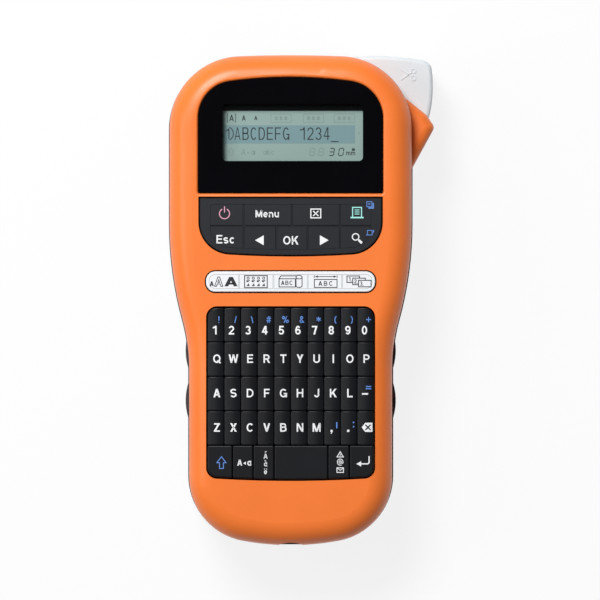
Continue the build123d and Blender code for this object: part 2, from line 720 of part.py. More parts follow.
# Posts on the inside of the front case, trimmed to its rounded wall
with BuildPart() as front_posts:
    with BuildSketch(Plane.XY.offset(PART_Z)):
        add(post_holes(CASE_SCREWS, POST_BOSS))
    extrude(amount=FACE_Z - PART_Z)
    with BuildSketch(Plane.XY.offset(BOARD_TOP)):
        add(post_holes(BOARD_SCREWS, BOARD_BOSS))
    extrude(amount=FACE_Z - BOARD_TOP)
    add(front_form(-WALL / 2), mode=Mode.INTERSECT)

# Front case: the orange shell with the face, the wing's cover and the posts
with BuildPart() as front_case:
    add(front_form())
    add(wing_form(PART_Z, WING_TOP_Z))
    add(front_form(-WALL), mode=Mode.SUBTRACT)
    with BuildSketch(Plane.XY.offset(PART_Z)):
        add(wing_face(-WALL))
    extrude(amount=LEVER_TOP_Z + LEVER_CLEARANCE - PART_Z, mode=Mode.SUBTRACT)
    add(front_posts.part)
    # Ledge under the bezel, then the bezel's seat and the hole inside the ledge
    with BuildSketch(Plane.XY.offset(BEZEL_Z - LEDGE_THICKNESS)):
        add(bezel_face(LEDGE_WIDTH))
        with Locations((0, PANEL_TOP - SIDE_X)):
            Rectangle(2 * SIDE_X, 2 * SIDE_X, mode=Mode.SUBTRACT)
    extrude(amount=LEDGE_THICKNESS + WALL / 2)
    with BuildSketch(Plane.XY.offset(BEZEL_Z)):
        add(bezel_face())
    extrude(amount=FACE_Z, mode=Mode.SUBTRACT)
    with BuildSketch(Plane.XY.offset(MAT_TOP)):
        add(bezel_face(-LEDGE_WIDTH))
    extrude(amount=FACE_Z, mode=Mode.SUBTRACT)
    # Openings for the three sets of keys
    with BuildSketch(Plane.XY.offset(MAT_TOP)):
        add(function_face())
        with Locations((0, STRIP_Y)):
            RectangleRounded(STRIP_WIDTH, STRIP_HEIGHT, STRIP_CORNER)
        add(keyboard_opening())
    extrude(amount=FACE_Z, mode=Mode.SUBTRACT)
    # Room for the lever, the inlet and the screws
    with BuildSketch(Plane.XY.offset(PART_Z)):
        add(lever_sweep())
    extrude(amount=LEVER_TOP_Z + LEVER_CLEARANCE - PART_Z, mode=Mode.SUBTRACT)
    with BuildSketch(Plane.XZ.offset(-BOTTOM_Y - WALL - JACK_LENGTH)):
        with Locations((0, PART_Z)):
            Circle(JACK_RADIUS + JACK_FIT)
    extrude(amount=WALL + JACK_LENGTH + JACK_FIT, mode=Mode.SUBTRACT)
    # A shallow scoop in the end wall over the inlet
    with BuildSketch(Plane.XY.offset(PART_Z)):
        with Locations((0, BOTTOM_Y + SCOOP_DEPTH - SCOOP_RADIUS)):
            Circle(SCOOP_RADIUS)
    extrude(amount=FACE_Z - PART_Z, mode=Mode.SUBTRACT)
    with BuildSketch(Plane.XY.offset(PART_Z)):
        add(post_holes(CASE_SCREWS, SCREW_RADIUS + SCREW_FIT))
    extrude(amount=SCREW_END + SCREW_FIT - PART_Z, mode=Mode.SUBTRACT)
    with BuildSketch(Plane.XY.offset(BOARD_TOP)):
        add(post_holes(BOARD_SCREWS, SCREW_RADIUS + SCREW_FIT))
    extrude(amount=BOARD_SCREW_GRIP, mode=Mode.SUBTRACT)
    rim = front_case.edges().filter_by(lambda e: abs(e.center().Z - FACE_Z) < 0.01)
    fillet(rim.filter_by(lambda e: e.center().Y > BEZEL_BOTTOM + 0.5), radius=BEZEL_LIP)
save(front_case.part, "front_case")

# Posts and walls on the inside of the rear case, trimmed to its rounded wall
with BuildPart() as rear_posts:
    with BuildSketch(Plane.XY.offset(BAY_FLOOR)):
        add(post_holes(CASE_SCREWS, BOSS_RADIUS))
    extrude(amount=PART_Z - BAY_FLOOR)
    with BuildSketch(Plane.XY.offset(BAY_FLOOR)):
        with Locations((CASSETTE_SHIFT, CASSETTE_Y)):
            Rectangle(CASSETTE_WIDTH + 2 * (BAY_GAP + BAY_WALL), CASSETTE_DEPTH + 2 * (BAY_GAP + BAY_WALL))
            Rectangle(CASSETTE_WIDTH + 2 * BAY_GAP, CASSETTE_DEPTH + 2 * BAY_GAP, mode=Mode.SUBTRACT)
        with Locations((CASSETTE_SHIFT, CASSETTE_TOP + SIDE_X - BAY_MOUTH)):
            Rectangle(2 * SIDE_X, 2 * SIDE_X, mode=Mode.SUBTRACT)
    extrude(amount=DECK_TOP - BAY_FLOOR)
    with BuildSketch(Plane.XY.offset(BAY_FLOOR)):
        with Locations((0, CELL_MID)):
            Rectangle(2 * (CELL_BAY_HALF + BAY_WALL), CELL_BAY_LENGTH + 2 * BAY_WALL)
            Rectangle(2 * CELL_BAY_HALF, CELL_BAY_LENGTH, mode=Mode.SUBTRACT)
    extrude(amount=CELL_BAY_TOP - BAY_FLOOR)
    with BuildSketch(Plane.XY.offset(CELL_BAY_TOP)):
        add(body_face(REAR_PROUD))
        with Locations((0, CELL_MID)):
            Rectangle(2 * SIDE_X, CELL_BAY_LENGTH + 2 * BAY_WALL, mode=Mode.INTERSECT)
    extrude(amount=BAY_WALL)
    with BuildSketch(Plane.XY.offset(DECK_Z)):
        add(body_face(REAR_PROUD))
        with Locations((0, CASSETTE_BOTTOM - BAY_GAP - BAY_WALL + BODY_LENGTH / 2)):
            Rectangle(4 * SIDE_X, BODY_LENGTH, mode=Mode.INTERSECT)
        for axis in (PLATEN_AXIS, SPINDLE_AXIS):
            with Locations(axis):
                Circle(SHAFT_RADIUS + BORE_CLEARANCE, mode=Mode.SUBTRACT)
        with Locations(MOTOR_AXIS):
            Circle(MOTOR_COLLAR, mode=Mode.SUBTRACT)
        with Locations(PIVOT):
            Circle(PIVOT_RADIUS + SCREW_FIT, mode=Mode.SUBTRACT)
        add(post_holes(CHASSIS_SCREWS, SCREW_RADIUS + SCREW_FIT), mode=Mode.SUBTRACT)
    extrude(amount=DECK_THICKNESS)
    add(rear_form(REAR_PROUD - WALL / 2, WALL / 2), mode=Mode.INTERSECT)

# The space that the back cover lies in
with BuildPart() as cover_room:
    with BuildSketch(Plane.XY.offset(-1)):
        add(cover_face(COVER_GAP))
    extrude(amount=BACK_ROUND + 1)
    add(rear_form(REAR_PROUD - BAY_FLOOR, BAY_FLOOR), mode=Mode.SUBTRACT)

# Rear case: the dark shell with the bays, the deck, the finger grips and the wing's lower half
with BuildPart() as rear_case:
    add(rear_form(REAR_PROUD))
    with BuildSketch(Plane.XY.offset(BACK_ROUND)):
        for y in GRIP_Y:
            with Locations((GRIP_X + REAR_PROUD + GRIP_PROUD - GRIP_BUMP, y)):
                Circle(GRIP_BUMP)
        with Locations((SIDE_X / 2 + GRIP_X - WALL, 0)):
            Rectangle(SIDE_X, BODY_LENGTH, mode=Mode.INTERSECT)
        mirror(about=Plane.YZ)
    extrude(amount=PART_Z - BACK_ROUND)
    add(wing_form(WING_LOW_Z, PART_Z))
    add(rear_form(REAR_PROUD - WALL, WALL), mode=Mode.SUBTRACT)
    add(rear_posts.part)
    add(cover_room.part, mode=Mode.SUBTRACT)
    with BuildSketch(Plane.XY.offset(LEVER_LOW_Z - LEVER_CLEARANCE)):
        add(lever_sweep(low=True))
    extrude(amount=PART_Z, mode=Mode.SUBTRACT)
    # The tape's way out, from the mechanism past the anvil
    with BuildSketch(Plane.XY.offset(LEVER_LOW_Z - LEVER_CLEARANCE)):
        with Locations((SIDE_X, (ANVIL_Y + PIVOT[1]) / 2)):
            Rectangle(2 * WING_REACH + 4 * WALL, PIVOT[1] - ANVIL_Y)
    extrude(amount=DECK_Z - LEVER_LOW_Z, mode=Mode.SUBTRACT)
    with BuildSketch(Plane.XZ.offset(-BOTTOM_Y - WALL - JACK_LENGTH)):
        with Locations((0, PART_Z)):
            Circle(JACK_RADIUS + JACK_FIT)
    extrude(amount=WALL + JACK_LENGTH + REAR_PROUD + JACK_FIT, mode=Mode.SUBTRACT)
    with BuildSketch(Plane.XY.offset(-1)):
        add(post_holes(CASE_SCREWS, SCREW_HEAD + BAY_GAP))
    extrude(amount=SCREW_SEAT + 1, mode=Mode.SUBTRACT)
    with BuildSketch(Plane.XY):
        add(post_holes(CASE_SCREWS, SCREW_RADIUS + BAY_GAP))
    extrude(amount=PART_Z, mode=Mode.SUBTRACT)
save(rear_case.part, "rear_case")

# Back cover: a lid with hooks at the lower end and a ribbed thumb patch at the upper end
with BuildPart() as rear_cover:
    with BuildSketch():
        add(cover_face())
    extrude(amount=BACK_ROUND)
    add(rear_form(REAR_PROUD), mode=Mode.INTERSECT)
    add(rear_form(REAR_PROUD - COVER_THICKNESS, COVER_THICKNESS), mode=Mode.SUBTRACT)
    for side in (-1, 1):
        with BuildSketch(Plane.XY.offset(COVER_THICKNESS - TAB_FIT)):
            with Locations((side * TAB_X, HINGE_Y + COVER_GAP + TAB_REACH / 2)):
                Rectangle(TAB_WIDTH, TAB_REACH)
        extrude(amount=TAB_THICKNESS + 2 * TAB_FIT)
        with BuildSketch(Plane.XY.offset(COVER_THICKNESS + TAB_FIT)):
            with Locations((side * TAB_X, HINGE_Y + COVER_GAP)):
                Rectangle(TAB_WIDTH, 2 * TAB_REACH)
        extrude(amount=TAB_THICKNESS)
    with BuildSketch():
        with Locations((0, COVER_TOP_Y - THUMB_DROP)):
            with GridLocations(0, THUMB_PITCH, 1, THUMB_RIBS):
                SlotOverall(THUMB_WIDTH, THUMB_PITCH / 2)
    extrude(amount=THUMB_DEPTH, mode=Mode.SUBTRACT)
save(rear_cover.part, "rear_cover")

# Display bezel: a gloss plate with the screen's opening
with BuildPart() as display_bezel:
    with BuildSketch(Plane.XY.offset(BEZEL_Z)):
        add(bezel_face(-BEZEL_FIT))
        with Locations((SCREEN_X, SCREEN_Y)):
            RectangleRounded(SCREEN_WIDTH, SCREEN_HEIGHT, SCREEN_CORNER, mode=Mode.SUBTRACT)
    extrude(amount=BEZEL_THICKNESS)
    rim = display_bezel.faces().sort_by(Axis.Z)[-1].outer_wire().edges()
    chamfer(rim, length=BEZEL_EDGE)
save(display_bezel.part, "display_bezel")

# Clear window stuck under the bezel
with BuildPart() as display_window:
    with BuildSketch(Plane.XY.offset(WINDOW_Z)):
        with Locations((SCREEN_X, SCREEN_Y)):
            RectangleRounded(SCREEN_WIDTH + 2 * WINDOW_BORDER, SCREEN_HEIGHT + 2 * WINDOW_BORDER,
                             SCREEN_CORNER)
    extrude(amount=WINDOW_THICKNESS)
save(display_window.part, "display_window")

# Liquid crystal panel
GLASS_WIDTH = SCREEN_WIDTH + 2 * GLASS_BORDER
GLASS_HEIGHT = SCREEN_HEIGHT + 2 * GLASS_BORDER
with BuildPart() as lcd_panel:
    with BuildSketch(Plane.XY.offset(GLASS_Z)):
        with Locations((SCREEN_X, SCREEN_Y)):
            Rectangle(GLASS_WIDTH, GLASS_HEIGHT)
    extrude(amount=GLASS_THICKNESS)
save(lcd_panel.part, "lcd_panel")

# Frame that stands on the board and holds the panel
with BuildPart() as lcd_frame:
    with BuildSketch(Plane.XY.offset(BOARD_TOP)):
        with Locations((SCREEN_X, SCREEN_Y)):
            RectangleRounded(GLASS_WIDTH + 2 * FRAME_WALL, GLASS_HEIGHT + 2 * FRAME_WALL, FRAME_CORNER)
            Rectangle(GLASS_WIDTH - 2 * SHELF_WIDTH, GLASS_HEIGHT - 2 * SHELF_WIDTH, mode=Mode.SUBTRACT)
    extrude(amount=WINDOW_Z - WINDOW_SEAT - BOARD_TOP)
    with BuildSketch(Plane.XY.offset(GLASS_Z)):
        with Locations((SCREEN_X, SCREEN_Y)):
            Rectangle(GLASS_WIDTH + 2 * GLASS_FIT, GLASS_HEIGHT + 2 * GLASS_FIT)
    extrude(amount=FACE_Z, mode=Mode.SUBTRACT)
save(lcd_frame.part, "lcd_frame")

# Main board, cut round the case's posts
with BuildPart() as main_board:
    with BuildSketch(Plane.XY.offset(BOARD_Z)):
        add(body_face(-WALL - BOARD_FIT))
        with Locations((0, (BOARD_END + BOARD_START) / 2)):
            Rectangle(2 * SIDE_X, BOARD_END - BOARD_START, mode=Mode.INTERSECT)
        add(post_holes(CASE_SCREWS, POST_BOSS + BOARD_FIT), mode=Mode.SUBTRACT)
        add(post_holes(BOARD_SCREWS, SCREW_RADIUS + BAY_GAP), mode=Mode.SUBTRACT)
    extrude(amount=BOARD_THICKNESS)
save(main_board.part, "main_board")

# Chips and the cable socket on the underside of the board
with BuildPart() as board_components:
    with BuildSketch(Plane.XY.offset(BOARD_Z - CHIP_HEIGHT)):
        with Locations((0, PANEL_BOTTOM)):
            Rectangle(CHIP_SIZE, CHIP_SIZE)
        with Locations((-CHIP_SIZE, STRIP_Y - CHIP_SIZE), (CHIP_SIZE, STRIP_Y - CHIP_SIZE)):
            Rectangle(CHIP_SIZE / 2, CHIP_SIZE)
        with Locations((0, KEYBOARD_BOTTOM + CHIP_SIZE)):
            Rectangle(2 * CHIP_SIZE, CHIP_SIZE / 2)
    extrude(amount=CHIP_HEIGHT)
save(board_components.part, "board_components")

# Keypad mat: a rubber sheet with a collar round every key's stem
with BuildPart() as keypad_mat:
    with BuildSketch(Plane.XY.offset(BOARD_TOP)):
        with Locations((0, (PANEL_TOP + KEYBOARD_BOTTOM) / 2)):
            Rectangle(2 * KEYBOARD_HALF - KEYBOARD_MARGIN, PANEL_TOP - KEYBOARD_BOTTOM)
    extrude(amount=MAT_THICKNESS)
    with BuildSketch(Plane.XY.offset(BOARD_TOP)):
        add(post_holes(stem_places, STEM_HOLE + COLLAR_WALL))
    extrude(amount=MAT_THICKNESS + COLLAR_HEIGHT)
    with BuildSketch(Plane.XY.offset(BOARD_TOP)):
        add(post_holes(stem_places, STEM_HOLE))
    extrude(amount=MAT_THICKNESS + COLLAR_HEIGHT, mode=Mode.SUBTRACT)
save(keypad_mat.part, "keypad_mat")

# Function panel: the frame and ribs round the nine function keys, standing on the mat
with BuildPart() as function_panel:
    with BuildSketch(Plane.XY.offset(MAT_TOP)):
        add(function_face(-PAD_GAP))
        add(function_window(), mode=Mode.SUBTRACT)
    extrude(amount=FACE_Z + PANEL_PROUD - MAT_TOP)
    chamfer(function_panel.faces().sort_by(Axis.Z)[-1].outer_wire().edges(), length=PAD_EDGE)
    with BuildSketch(Plane.XY.offset(MAT_TOP)):
        add(function_window())
        add(pad_faces(UPPER_FUNCTIONS + LOWER_FUNCTIONS, function_window(), PANEL_GROOVE, PAD_CLEARANCE),
            mode=Mode.SUBTRACT)
    extrude(amount=FACE_Z + PANEL_PROUD - PANEL_GROOVE_DEPTH - MAT_TOP)
save(function_panel.part, "function_panel")

# Template panel: the white frame and ribs round the five template keys, standing on the mat
with BuildPart() as template_panel:
    with BuildSketch(Plane.XY.offset(MAT_TOP)):
        with Locations((0, STRIP_Y)):
            RectangleRounded(STRIP_WIDTH - 2 * PAD_GAP, STRIP_HEIGHT - 2 * PAD_GAP, STRIP_CORNER - PAD_GAP)
        add(strip_window(), mode=Mode.SUBTRACT)
    extrude(amount=FACE_Z + PANEL_PROUD - MAT_TOP)
    chamfer(template_panel.faces().sort_by(Axis.Z)[-1].outer_wire().edges(), length=PAD_EDGE)
    with BuildSketch(Plane.XY.offset(MAT_TOP)):
        add(strip_window())
        add(pad_faces(TEMPLATE_KEYS, strip_window(), STRIP_GROOVE, PAD_CLEARANCE), mode=Mode.SUBTRACT)
    extrude(amount=FACE_Z + PANEL_PROUD - STRIP_GROOVE_DEPTH - MAT_TOP)
save(template_panel.part, "template_panel")

# Function and template keys: each fills its share of its panel's opening
for name in pad_boxes:
    with BuildPart() as pad_key:
        with BuildSketch(Plane.XY.offset(KEY_BASE_Z)):
            if name in TEMPLATE_KEYS:
                add(pad_faces([name], strip_window(PAD_CLEARANCE), STRIP_GROOVE))
            else:
                add(pad_faces([name], function_window(PAD_CLEARANCE), PANEL_GROOVE))
        extrude(amount=KEY_SKIRT + PANEL_PROUD)
        with BuildSketch(Plane.XY.offset(STEM_END_Z)):
            add(post_holes([pad_centre(name)], STEM_RADIUS))
        extrude(amount=KEY_BASE_Z - STEM_END_Z)
    save(pad_key.part, name)


def at_keyboard_corner(point):
    """Whether a point is one of the outer corners of the whole block of letter keys."""
    beside = abs(point.X) > KEYBOARD_HALF - KEYBOARD_MARGIN - KEY_GAP
    return beside and (point.Y > KEYBOARD_TOP - KEY_CORNER or point.Y < ROW_Y[-1] - KEY_PITCH_Y / 4)


def caps_face(caps):
    """Key caps in plan. The block's lowest edge and its four outer corners follow the opening."""
    edge_gap = KEYBOARD_MARGIN + KEY_GAP / 2
    with BuildSketch() as face:
        for x, y, span in caps:
            with Locations((x, y)):
                Rectangle(span - KEY_GAP, KEY_PITCH_Y - KEY_GAP)
        with Locations((0, KEYBOARD_BOTTOM + KEYBOARD_BOW)):
            Circle(KEYBOARD_BOW - edge_gap, mode=Mode.INTERSECT)
        fillet(face.vertices().filter_by(lambda point: not at_keyboard_corner(point)), radius=KEY_CORNER)
        outer = face.vertices().filter_by(at_keyboard_corner)
        if outer:
            fillet(outer, radius=KEYBOARD_CORNER - edge_gap)
    return face.sketch


def caps_section(caps):
    """Key caps seen from the front: each has a domed top, lower at its two sides."""
    with BuildSketch(Plane.XZ) as section:
        for x, y, span in caps:
            half = (span - KEY_GAP) / 2
            low = FACE_Z + KEY_PROUD - KEY_DOME
            with BuildLine():
                ThreePointArc((x - half, low), (x, low + KEY_DOME), (x + half, low))
                Polyline((x + half, low), (x + half, KEY_BASE_Z), (x - half, KEY_BASE_Z), (x - half, low))
            make_face()
    return section.sketch


# Letter keys: rows of domed caps on stems, and the six wider, flatter keys of the bottom row
key_sets = {name: [(x, y, KEY_PITCH_X) for x in COLUMN_X] for name, y in LETTER_ROWS.items()}
key_sets.update({name: [(x, ROW_Y[-1], span)] for name, (x, span) in bottom_places.items()})
for name, caps in key_sets.items():
    with BuildPart() as key_caps:
        with BuildSketch(Plane.XY.offset(KEY_BASE_Z)):
            add(caps_face(caps))
        extrude(amount=KEY_SKIRT + KEY_PROUD)
        if name in LETTER_ROWS:
            extrude(caps_section(caps), amount=BODY_LENGTH, both=True, mode=Mode.INTERSECT)
        tops = key_caps.faces().filter_by(lambda face: face.normal_at().Z > 0.9)
        fillet(tops.edges(), radius=KEY_CROWN if name in LETTER_ROWS else WIDE_CROWN)
        with BuildSketch(Plane.XY.offset(STEM_END_Z)):
            add(post_holes([(x, y) for x, y, span in caps], STEM_RADIUS))
        extrude(amount=KEY_BASE_Z - STEM_END_Z)
    save(key_caps.part, name)

# Cutter lever: a hollow corner moulding on an arm, with its hub on the pivot
with BuildPart() as cutter_lever:
    with BuildSketch(Plane.XY.offset(LEVER_LOW_Z)):
        add(lever_face(low=True))
    extrude(amount=LEVER_TOP_Z - LEVER_LOW_Z)
    with BuildSketch(Plane.XY.offset(LEVER_ARM_Z)):
        add(lever_face())
    extrude(amount=LEVER_TOP_Z - LEVER_ARM_Z)
    edges = cutter_lever.faces().sort_by(Axis.Z)[-1].edges()
    fillet(edges.filter_by(lambda e: e.center().X > SIDE_X or e.center().Y > TOP_Y - LEVER_SOLE / 2),
           radius=LEVER_EDGE)
    with BuildSketch(Plane.XY.offset(LEVER_LOW_Z)):
        add(lever_face(low=True, grow=-LEVER_SKIN))
        with Locations((0, PIVOT[1])):
            Rectangle(4 * SIDE_X, 2 * LEVER_SOLID, mode=Mode.SUBTRACT)
    extrude(amount=LEVER_TOP_Z - LEVER_LOW_Z - 2 * LEVER_SKIN, mode=Mode.SUBTRACT)
    with BuildSketch(Plane.XY.offset(DECK_TOP + HUB_SEAT)):
        with Locations(PIVOT):
            Circle(HUB_NECK)
    extrude(amount=LEVER_ARM_Z - DECK_TOP - HUB_SEAT)
    with BuildSketch(Plane.XY.offset(DECK_TOP)):
        with Locations(PIVOT):
            Circle(PIVOT_RADIUS + BORE_CLEARANCE)
    extrude(amount=LEVER_TOP_Z - DECK_TOP, mode=Mode.SUBTRACT)
    with BuildSketch(Plane.XY.offset(TAPE_Z - BLADE_OVER)):
        with Locations((BLADE_X, BLADE_Y)):
            Rectangle(BLADE_THICKNESS, BLADE_LENGTH)
    extrude(amount=TAPE_WIDTH + 2 * BLADE_OVER, mode=Mode.SUBTRACT)
save(cutter_lever.part, "cutter_lever")

# Cutter blade, ground to an edge on the side of the tape
with BuildPart() as cutter_blade:
    with BuildSketch(Plane.XY.offset(TAPE_Z - BLADE_OVER)):
        with BuildLine():
            Polyline((BLADE_X - BLADE_THICKNESS / 2, BLADE_Y + BLADE_LENGTH / 2),
                     (BLADE_X - BLADE_THICKNESS / 2, BLADE_Y - BLADE_LENGTH / 2),
                     (BLADE_X + BLADE_THICKNESS / 2, BLADE_Y - BLADE_LENGTH / 2 + 2 * BLADE_THICKNESS),
                     (BLADE_X + BLADE_THICKNESS / 2, BLADE_Y + BLADE_LENGTH / 2), close=True)
        make_face()
    extrude(amount=TAPE_WIDTH + 2 * BLADE_OVER)
save(cutter_blade.part, "cutter_blade")

# Shoulder screw that the lever turns on
with BuildPart() as lever_pivot_pin:
    with BuildSketch(Plane.XY.offset(DECK_Z)):
        with Locations(PIVOT):
            Circle(PIVOT_RADIUS)
    extrude(amount=LEVER_TOP_Z + PIN_PLAY - DECK_Z)
    with BuildSketch(Plane.XY.offset(LEVER_TOP_Z + PIN_PLAY)):
        with Locations(PIVOT):
            Circle(PIN_HEAD)
    extrude(amount=SCREW_HEAD_HEIGHT)
save(lever_pivot_pin.part, "lever_pivot_pin")

# Return spring wound round the lever's hub
with BuildPart() as lever_spring:
    spring_radius = HUB_NECK + 2 * SPRING_WIRE
    spring_rise = LEVER_ARM_Z - DECK_TOP - 2 * HUB_SEAT - 2 * SPRING_WIRE
    with BuildLine(Plane((*PIVOT, DECK_TOP + HUB_SEAT + SPRING_WIRE))) as coil:
        Helix(spring_rise / SPRING_TURNS, spring_rise, spring_radius)
    with BuildSketch(Plane(origin=coil.line @ 0, z_dir=coil.line % 0)):
        Circle(SPRING_WIRE / 2)
    sweep(path=coil.line)
save(lever_spring.part, "lever_spring")

# Steel chassis plate on the deck, with the two gear posts
with BuildPart() as chassis_plate:
    with BuildSketch(Plane.XY.offset(DECK_TOP)):
        with Locations((PLATE_X, PLATE_Y)):
            RectangleRounded(PLATE_WIDTH, PLATE_HEIGHT, PLATE_CORNER)
        for axis in (PLATEN_AXIS, SPINDLE_AXIS):
            with Locations(axis):
                Circle(SHAFT_RADIUS + BAY_GAP, mode=Mode.SUBTRACT)
        with Locations(MOTOR_AXIS):
            Circle(MOTOR_COLLAR, mode=Mode.SUBTRACT)
        add(post_holes(CHASSIS_SCREWS, SCREW_RADIUS + BAY_GAP), mode=Mode.SUBTRACT)
    extrude(amount=PLATE_THICKNESS)
    with BuildSketch(Plane.XY.offset(DECK_TOP)):
        add(post_holes([WHEEL_AXIS, IDLER_AXIS], POST_RADIUS))
    extrude(amount=GEAR_HIGH_Z + GEAR_THICKNESS + GEAR_GAP - DECK_TOP)
save(chassis_plate.part, "chassis_plate")

# Feed motor hung under the deck
with BuildPart() as feed_motor:
    with BuildSketch(Plane.XY.offset(DECK_Z - MOTOR_LENGTH)):
        with Locations(MOTOR_AXIS):
            Circle(MOTOR_RADIUS)
    extrude(amount=MOTOR_LENGTH)
    fillet(feed_motor.faces().sort_by(Axis.Z)[0].edges(), radius=MOTOR_COLLAR / 2)
    with BuildSketch(Plane.XY.offset(DECK_Z)):
        with Locations(MOTOR_AXIS):
            Circle(MOTOR_COLLAR - BORE_CLEARANCE)
    extrude(amount=DECK_THICKNESS)
    with BuildSketch(Plane.XY.offset(DECK_Z - MOTOR_LENGTH / 2)):
        with Locations(MOTOR_AXIS):
            Circle(MOTOR_SHAFT + BORE_CLEARANCE)
    extrude(amount=MOTOR_LENGTH, mode=Mode.SUBTRACT)
save(feed_motor.part, "feed_motor")

# Motor pinion and its shaft
with BuildPart() as motor_pinion:
    with BuildSketch(Plane.XY.offset(GEAR_HIGH_Z)):
        with Locations(MOTOR_AXIS):
            add(gear_face(PINION_TEETH, PINION_PHASE, 0))
    extrude(amount=GEAR_THICKNESS)
    with BuildSketch(Plane.XY.offset(DECK_Z - MOTOR_LENGTH / 2 + GEAR_GAP)):
        with Locations(MOTOR_AXIS):
            Circle(MOTOR_SHAFT)
    extrude(amount=GEAR_HIGH_Z - DECK_Z + MOTOR_LENGTH / 2)
save(motor_pinion.part, "motor_pinion")

# Reduction gear and idler gear: each a wheel with a pinion under it, on a post
compound_gears = {"reduction_gear": (WHEEL_AXIS, WHEEL_PHASE, GEAR_HIGH_Z),
                  "idler_gear": (IDLER_AXIS, IDLER_PHASE, GEAR_MID_Z)}
for name, (axis, phase, wheel_z) in compound_gears.items():
    with BuildPart() as compound_gear:
        with BuildSketch(Plane.XY.offset(wheel_z)):
            with Locations(axis):
                add(gear_face(WHEEL_TEETH, phase, POST_RADIUS + BORE_CLEARANCE))
        extrude(amount=GEAR_THICKNESS)
        with BuildSketch(Plane.XY.offset(wheel_z)):
            with Locations(axis):
                add(gear_face(PINION_TEETH, phase, POST_RADIUS + BORE_CLEARANCE))
        extrude(amount=-GEAR_THICKNESS - GEAR_GAP)
    save(compound_gear.part, name)

# Platen gear and the shaft that it shares with the roller
with BuildPart() as platen_gear:
    with BuildSketch(Plane.XY.offset(GEAR_LOW_Z)):
        with Locations(PLATEN_AXIS):
            add(gear_face(ROLLER_TEETH, ROLLER_PHASE, 0))
    extrude(amount=GEAR_THICKNESS)
    with BuildSketch(Plane.XY.offset(HOLDER_Z)):
        with Locations(PLATEN_AXIS):
            Circle(SHAFT_RADIUS)
    extrude(amount=GEAR_LOW_Z - HOLDER_Z)
save(platen_gear.part, "platen_gear")

# Rubber platen roller pressed on the shaft
with BuildPart() as platen_roller:
    with BuildSketch(Plane.XY.offset(TAPE_Z - BLADE_OVER)):
        with Locations(PLATEN_AXIS):
            Circle(PLATEN_RADIUS)
            Circle(SHAFT_RADIUS, mode=Mode.SUBTRACT)
    extrude(amount=TAPE_WIDTH + 2 * BLADE_OVER)
save(platen_roller.part, "platen_roller")

# Holder that carries the roller's lower end from the deck
with BuildPart() as roller_holder:
    with BuildSketch(Plane.XY.offset(HOLDER_Z)):
        with Locations(PLATEN_AXIS):
            Rectangle(HOLDER_WIDTH, HOLDER_DEPTH, align=(Align.CENTER, Align.CENTER))
            Circle(SHAFT_RADIUS + BORE_CLEARANCE, mode=Mode.SUBTRACT)
        with Locations((PLATEN_X, PLATEN_AXIS[1] + HOLDER_DEPTH / 2 + HOLDER_WALL / 2)):
            Rectangle(HOLDER_WIDTH, HOLDER_WALL)
    extrude(amount=HOLDER_WALL)
    with BuildSketch(Plane.XY.offset(HOLDER_Z)):
        with Locations((PLATEN_X, PLATEN_AXIS[1] + HOLDER_DEPTH / 2 + HOLDER_WALL / 2)):
            Rectangle(HOLDER_WIDTH, HOLDER_WALL)
    extrude(amount=DECK_Z - HOLDER_Z)
save(roller_holder.part, "roller_holder")

# Ribbon take-up spindle and its gear
with BuildPart() as takeup_spindle:
    with BuildSketch(Plane.XY.offset(GEAR_LOW_Z)):
        with Locations(SPINDLE_AXIS):
            add(gear_face(ROLLER_TEETH, SPINDLE_PHASE, 0))
    extrude(amount=GEAR_THICKNESS)
    with BuildSketch(Plane.XY.offset(TAPE_Z)):
        with Locations(SPINDLE_AXIS):
            Circle(SHAFT_RADIUS)
    extrude(amount=GEAR_LOW_Z - TAPE_Z)
    with BuildSketch(Plane.XY.offset(TAPE_Z - BLADE_OVER)):
        with Locations(SPINDLE_AXIS):
            Circle(SPINDLE_RADIUS)
            with PolarLocations(SPINDLE_RADIUS, 6):
                Circle(SPLINE_RADIUS, mode=Mode.SUBTRACT)
    extrude(amount=DECK_Z - BAY_GAP - TAPE_Z + BLADE_OVER)
save(takeup_spindle.part, "takeup_spindle")

# Ribbon spool in the cassette, on the spindle
with BuildPart() as ribbon_spool:
    with BuildSketch(Plane.XY.offset(TAPE_Z)):
        with Locations(SPINDLE_AXIS):
            Circle(SPOOL_RADIUS)
            Circle(SPINDLE_RADIUS + SPOOL_FIT, mode=Mode.SUBTRACT)
    extrude(amount=TAPE_WIDTH)
save(ribbon_spool.part, "ribbon_spool")

# Print head and the heat sink that carries it down from the deck
with BuildPart() as print_head:
    with BuildSketch(Plane.XY.offset(TAPE_Z - BLADE_OVER)):
        with Locations((PLATEN_X, HEAD_FACE_Y - HEAD_THICKNESS / 2)):
            Rectangle(HEAD_WIDTH, HEAD_THICKNESS)
    extrude(amount=TAPE_WIDTH + 2 * BLADE_OVER)
save(print_head.part, "print_head")
with BuildPart() as head_bracket:
    with BuildSketch(Plane.XY.offset(TAPE_Z - BLADE_OVER)):
        with Locations((PLATEN_X, HEAD_FACE_Y - HEAD_THICKNESS - SINK_THICKNESS / 2)):
            Rectangle(HEAD_WIDTH, SINK_THICKNESS)
    extrude(amount=DECK_Z - TAPE_Z + BLADE_OVER)
save(head_bracket.part, "head_bracket")


def cassette_face(shrink=0.0):
    """The cassette in plan, with the notch that the print head stands in."""
    with BuildSketch() as face:
        with Locations((CASSETTE_SHIFT, CASSETTE_Y)):
            RectangleRounded(CASSETTE_WIDTH - 2 * shrink, CASSETTE_DEPTH - 2 * shrink, CASSETTE_CORNER)
        with Locations((PLATEN_X, CASSETTE_TOP)):
            Rectangle(NOTCH_WIDTH + 2 * shrink, 2 * (NOTCH_DEPTH + shrink), mode=Mode.SUBTRACT)
    return face.sketch


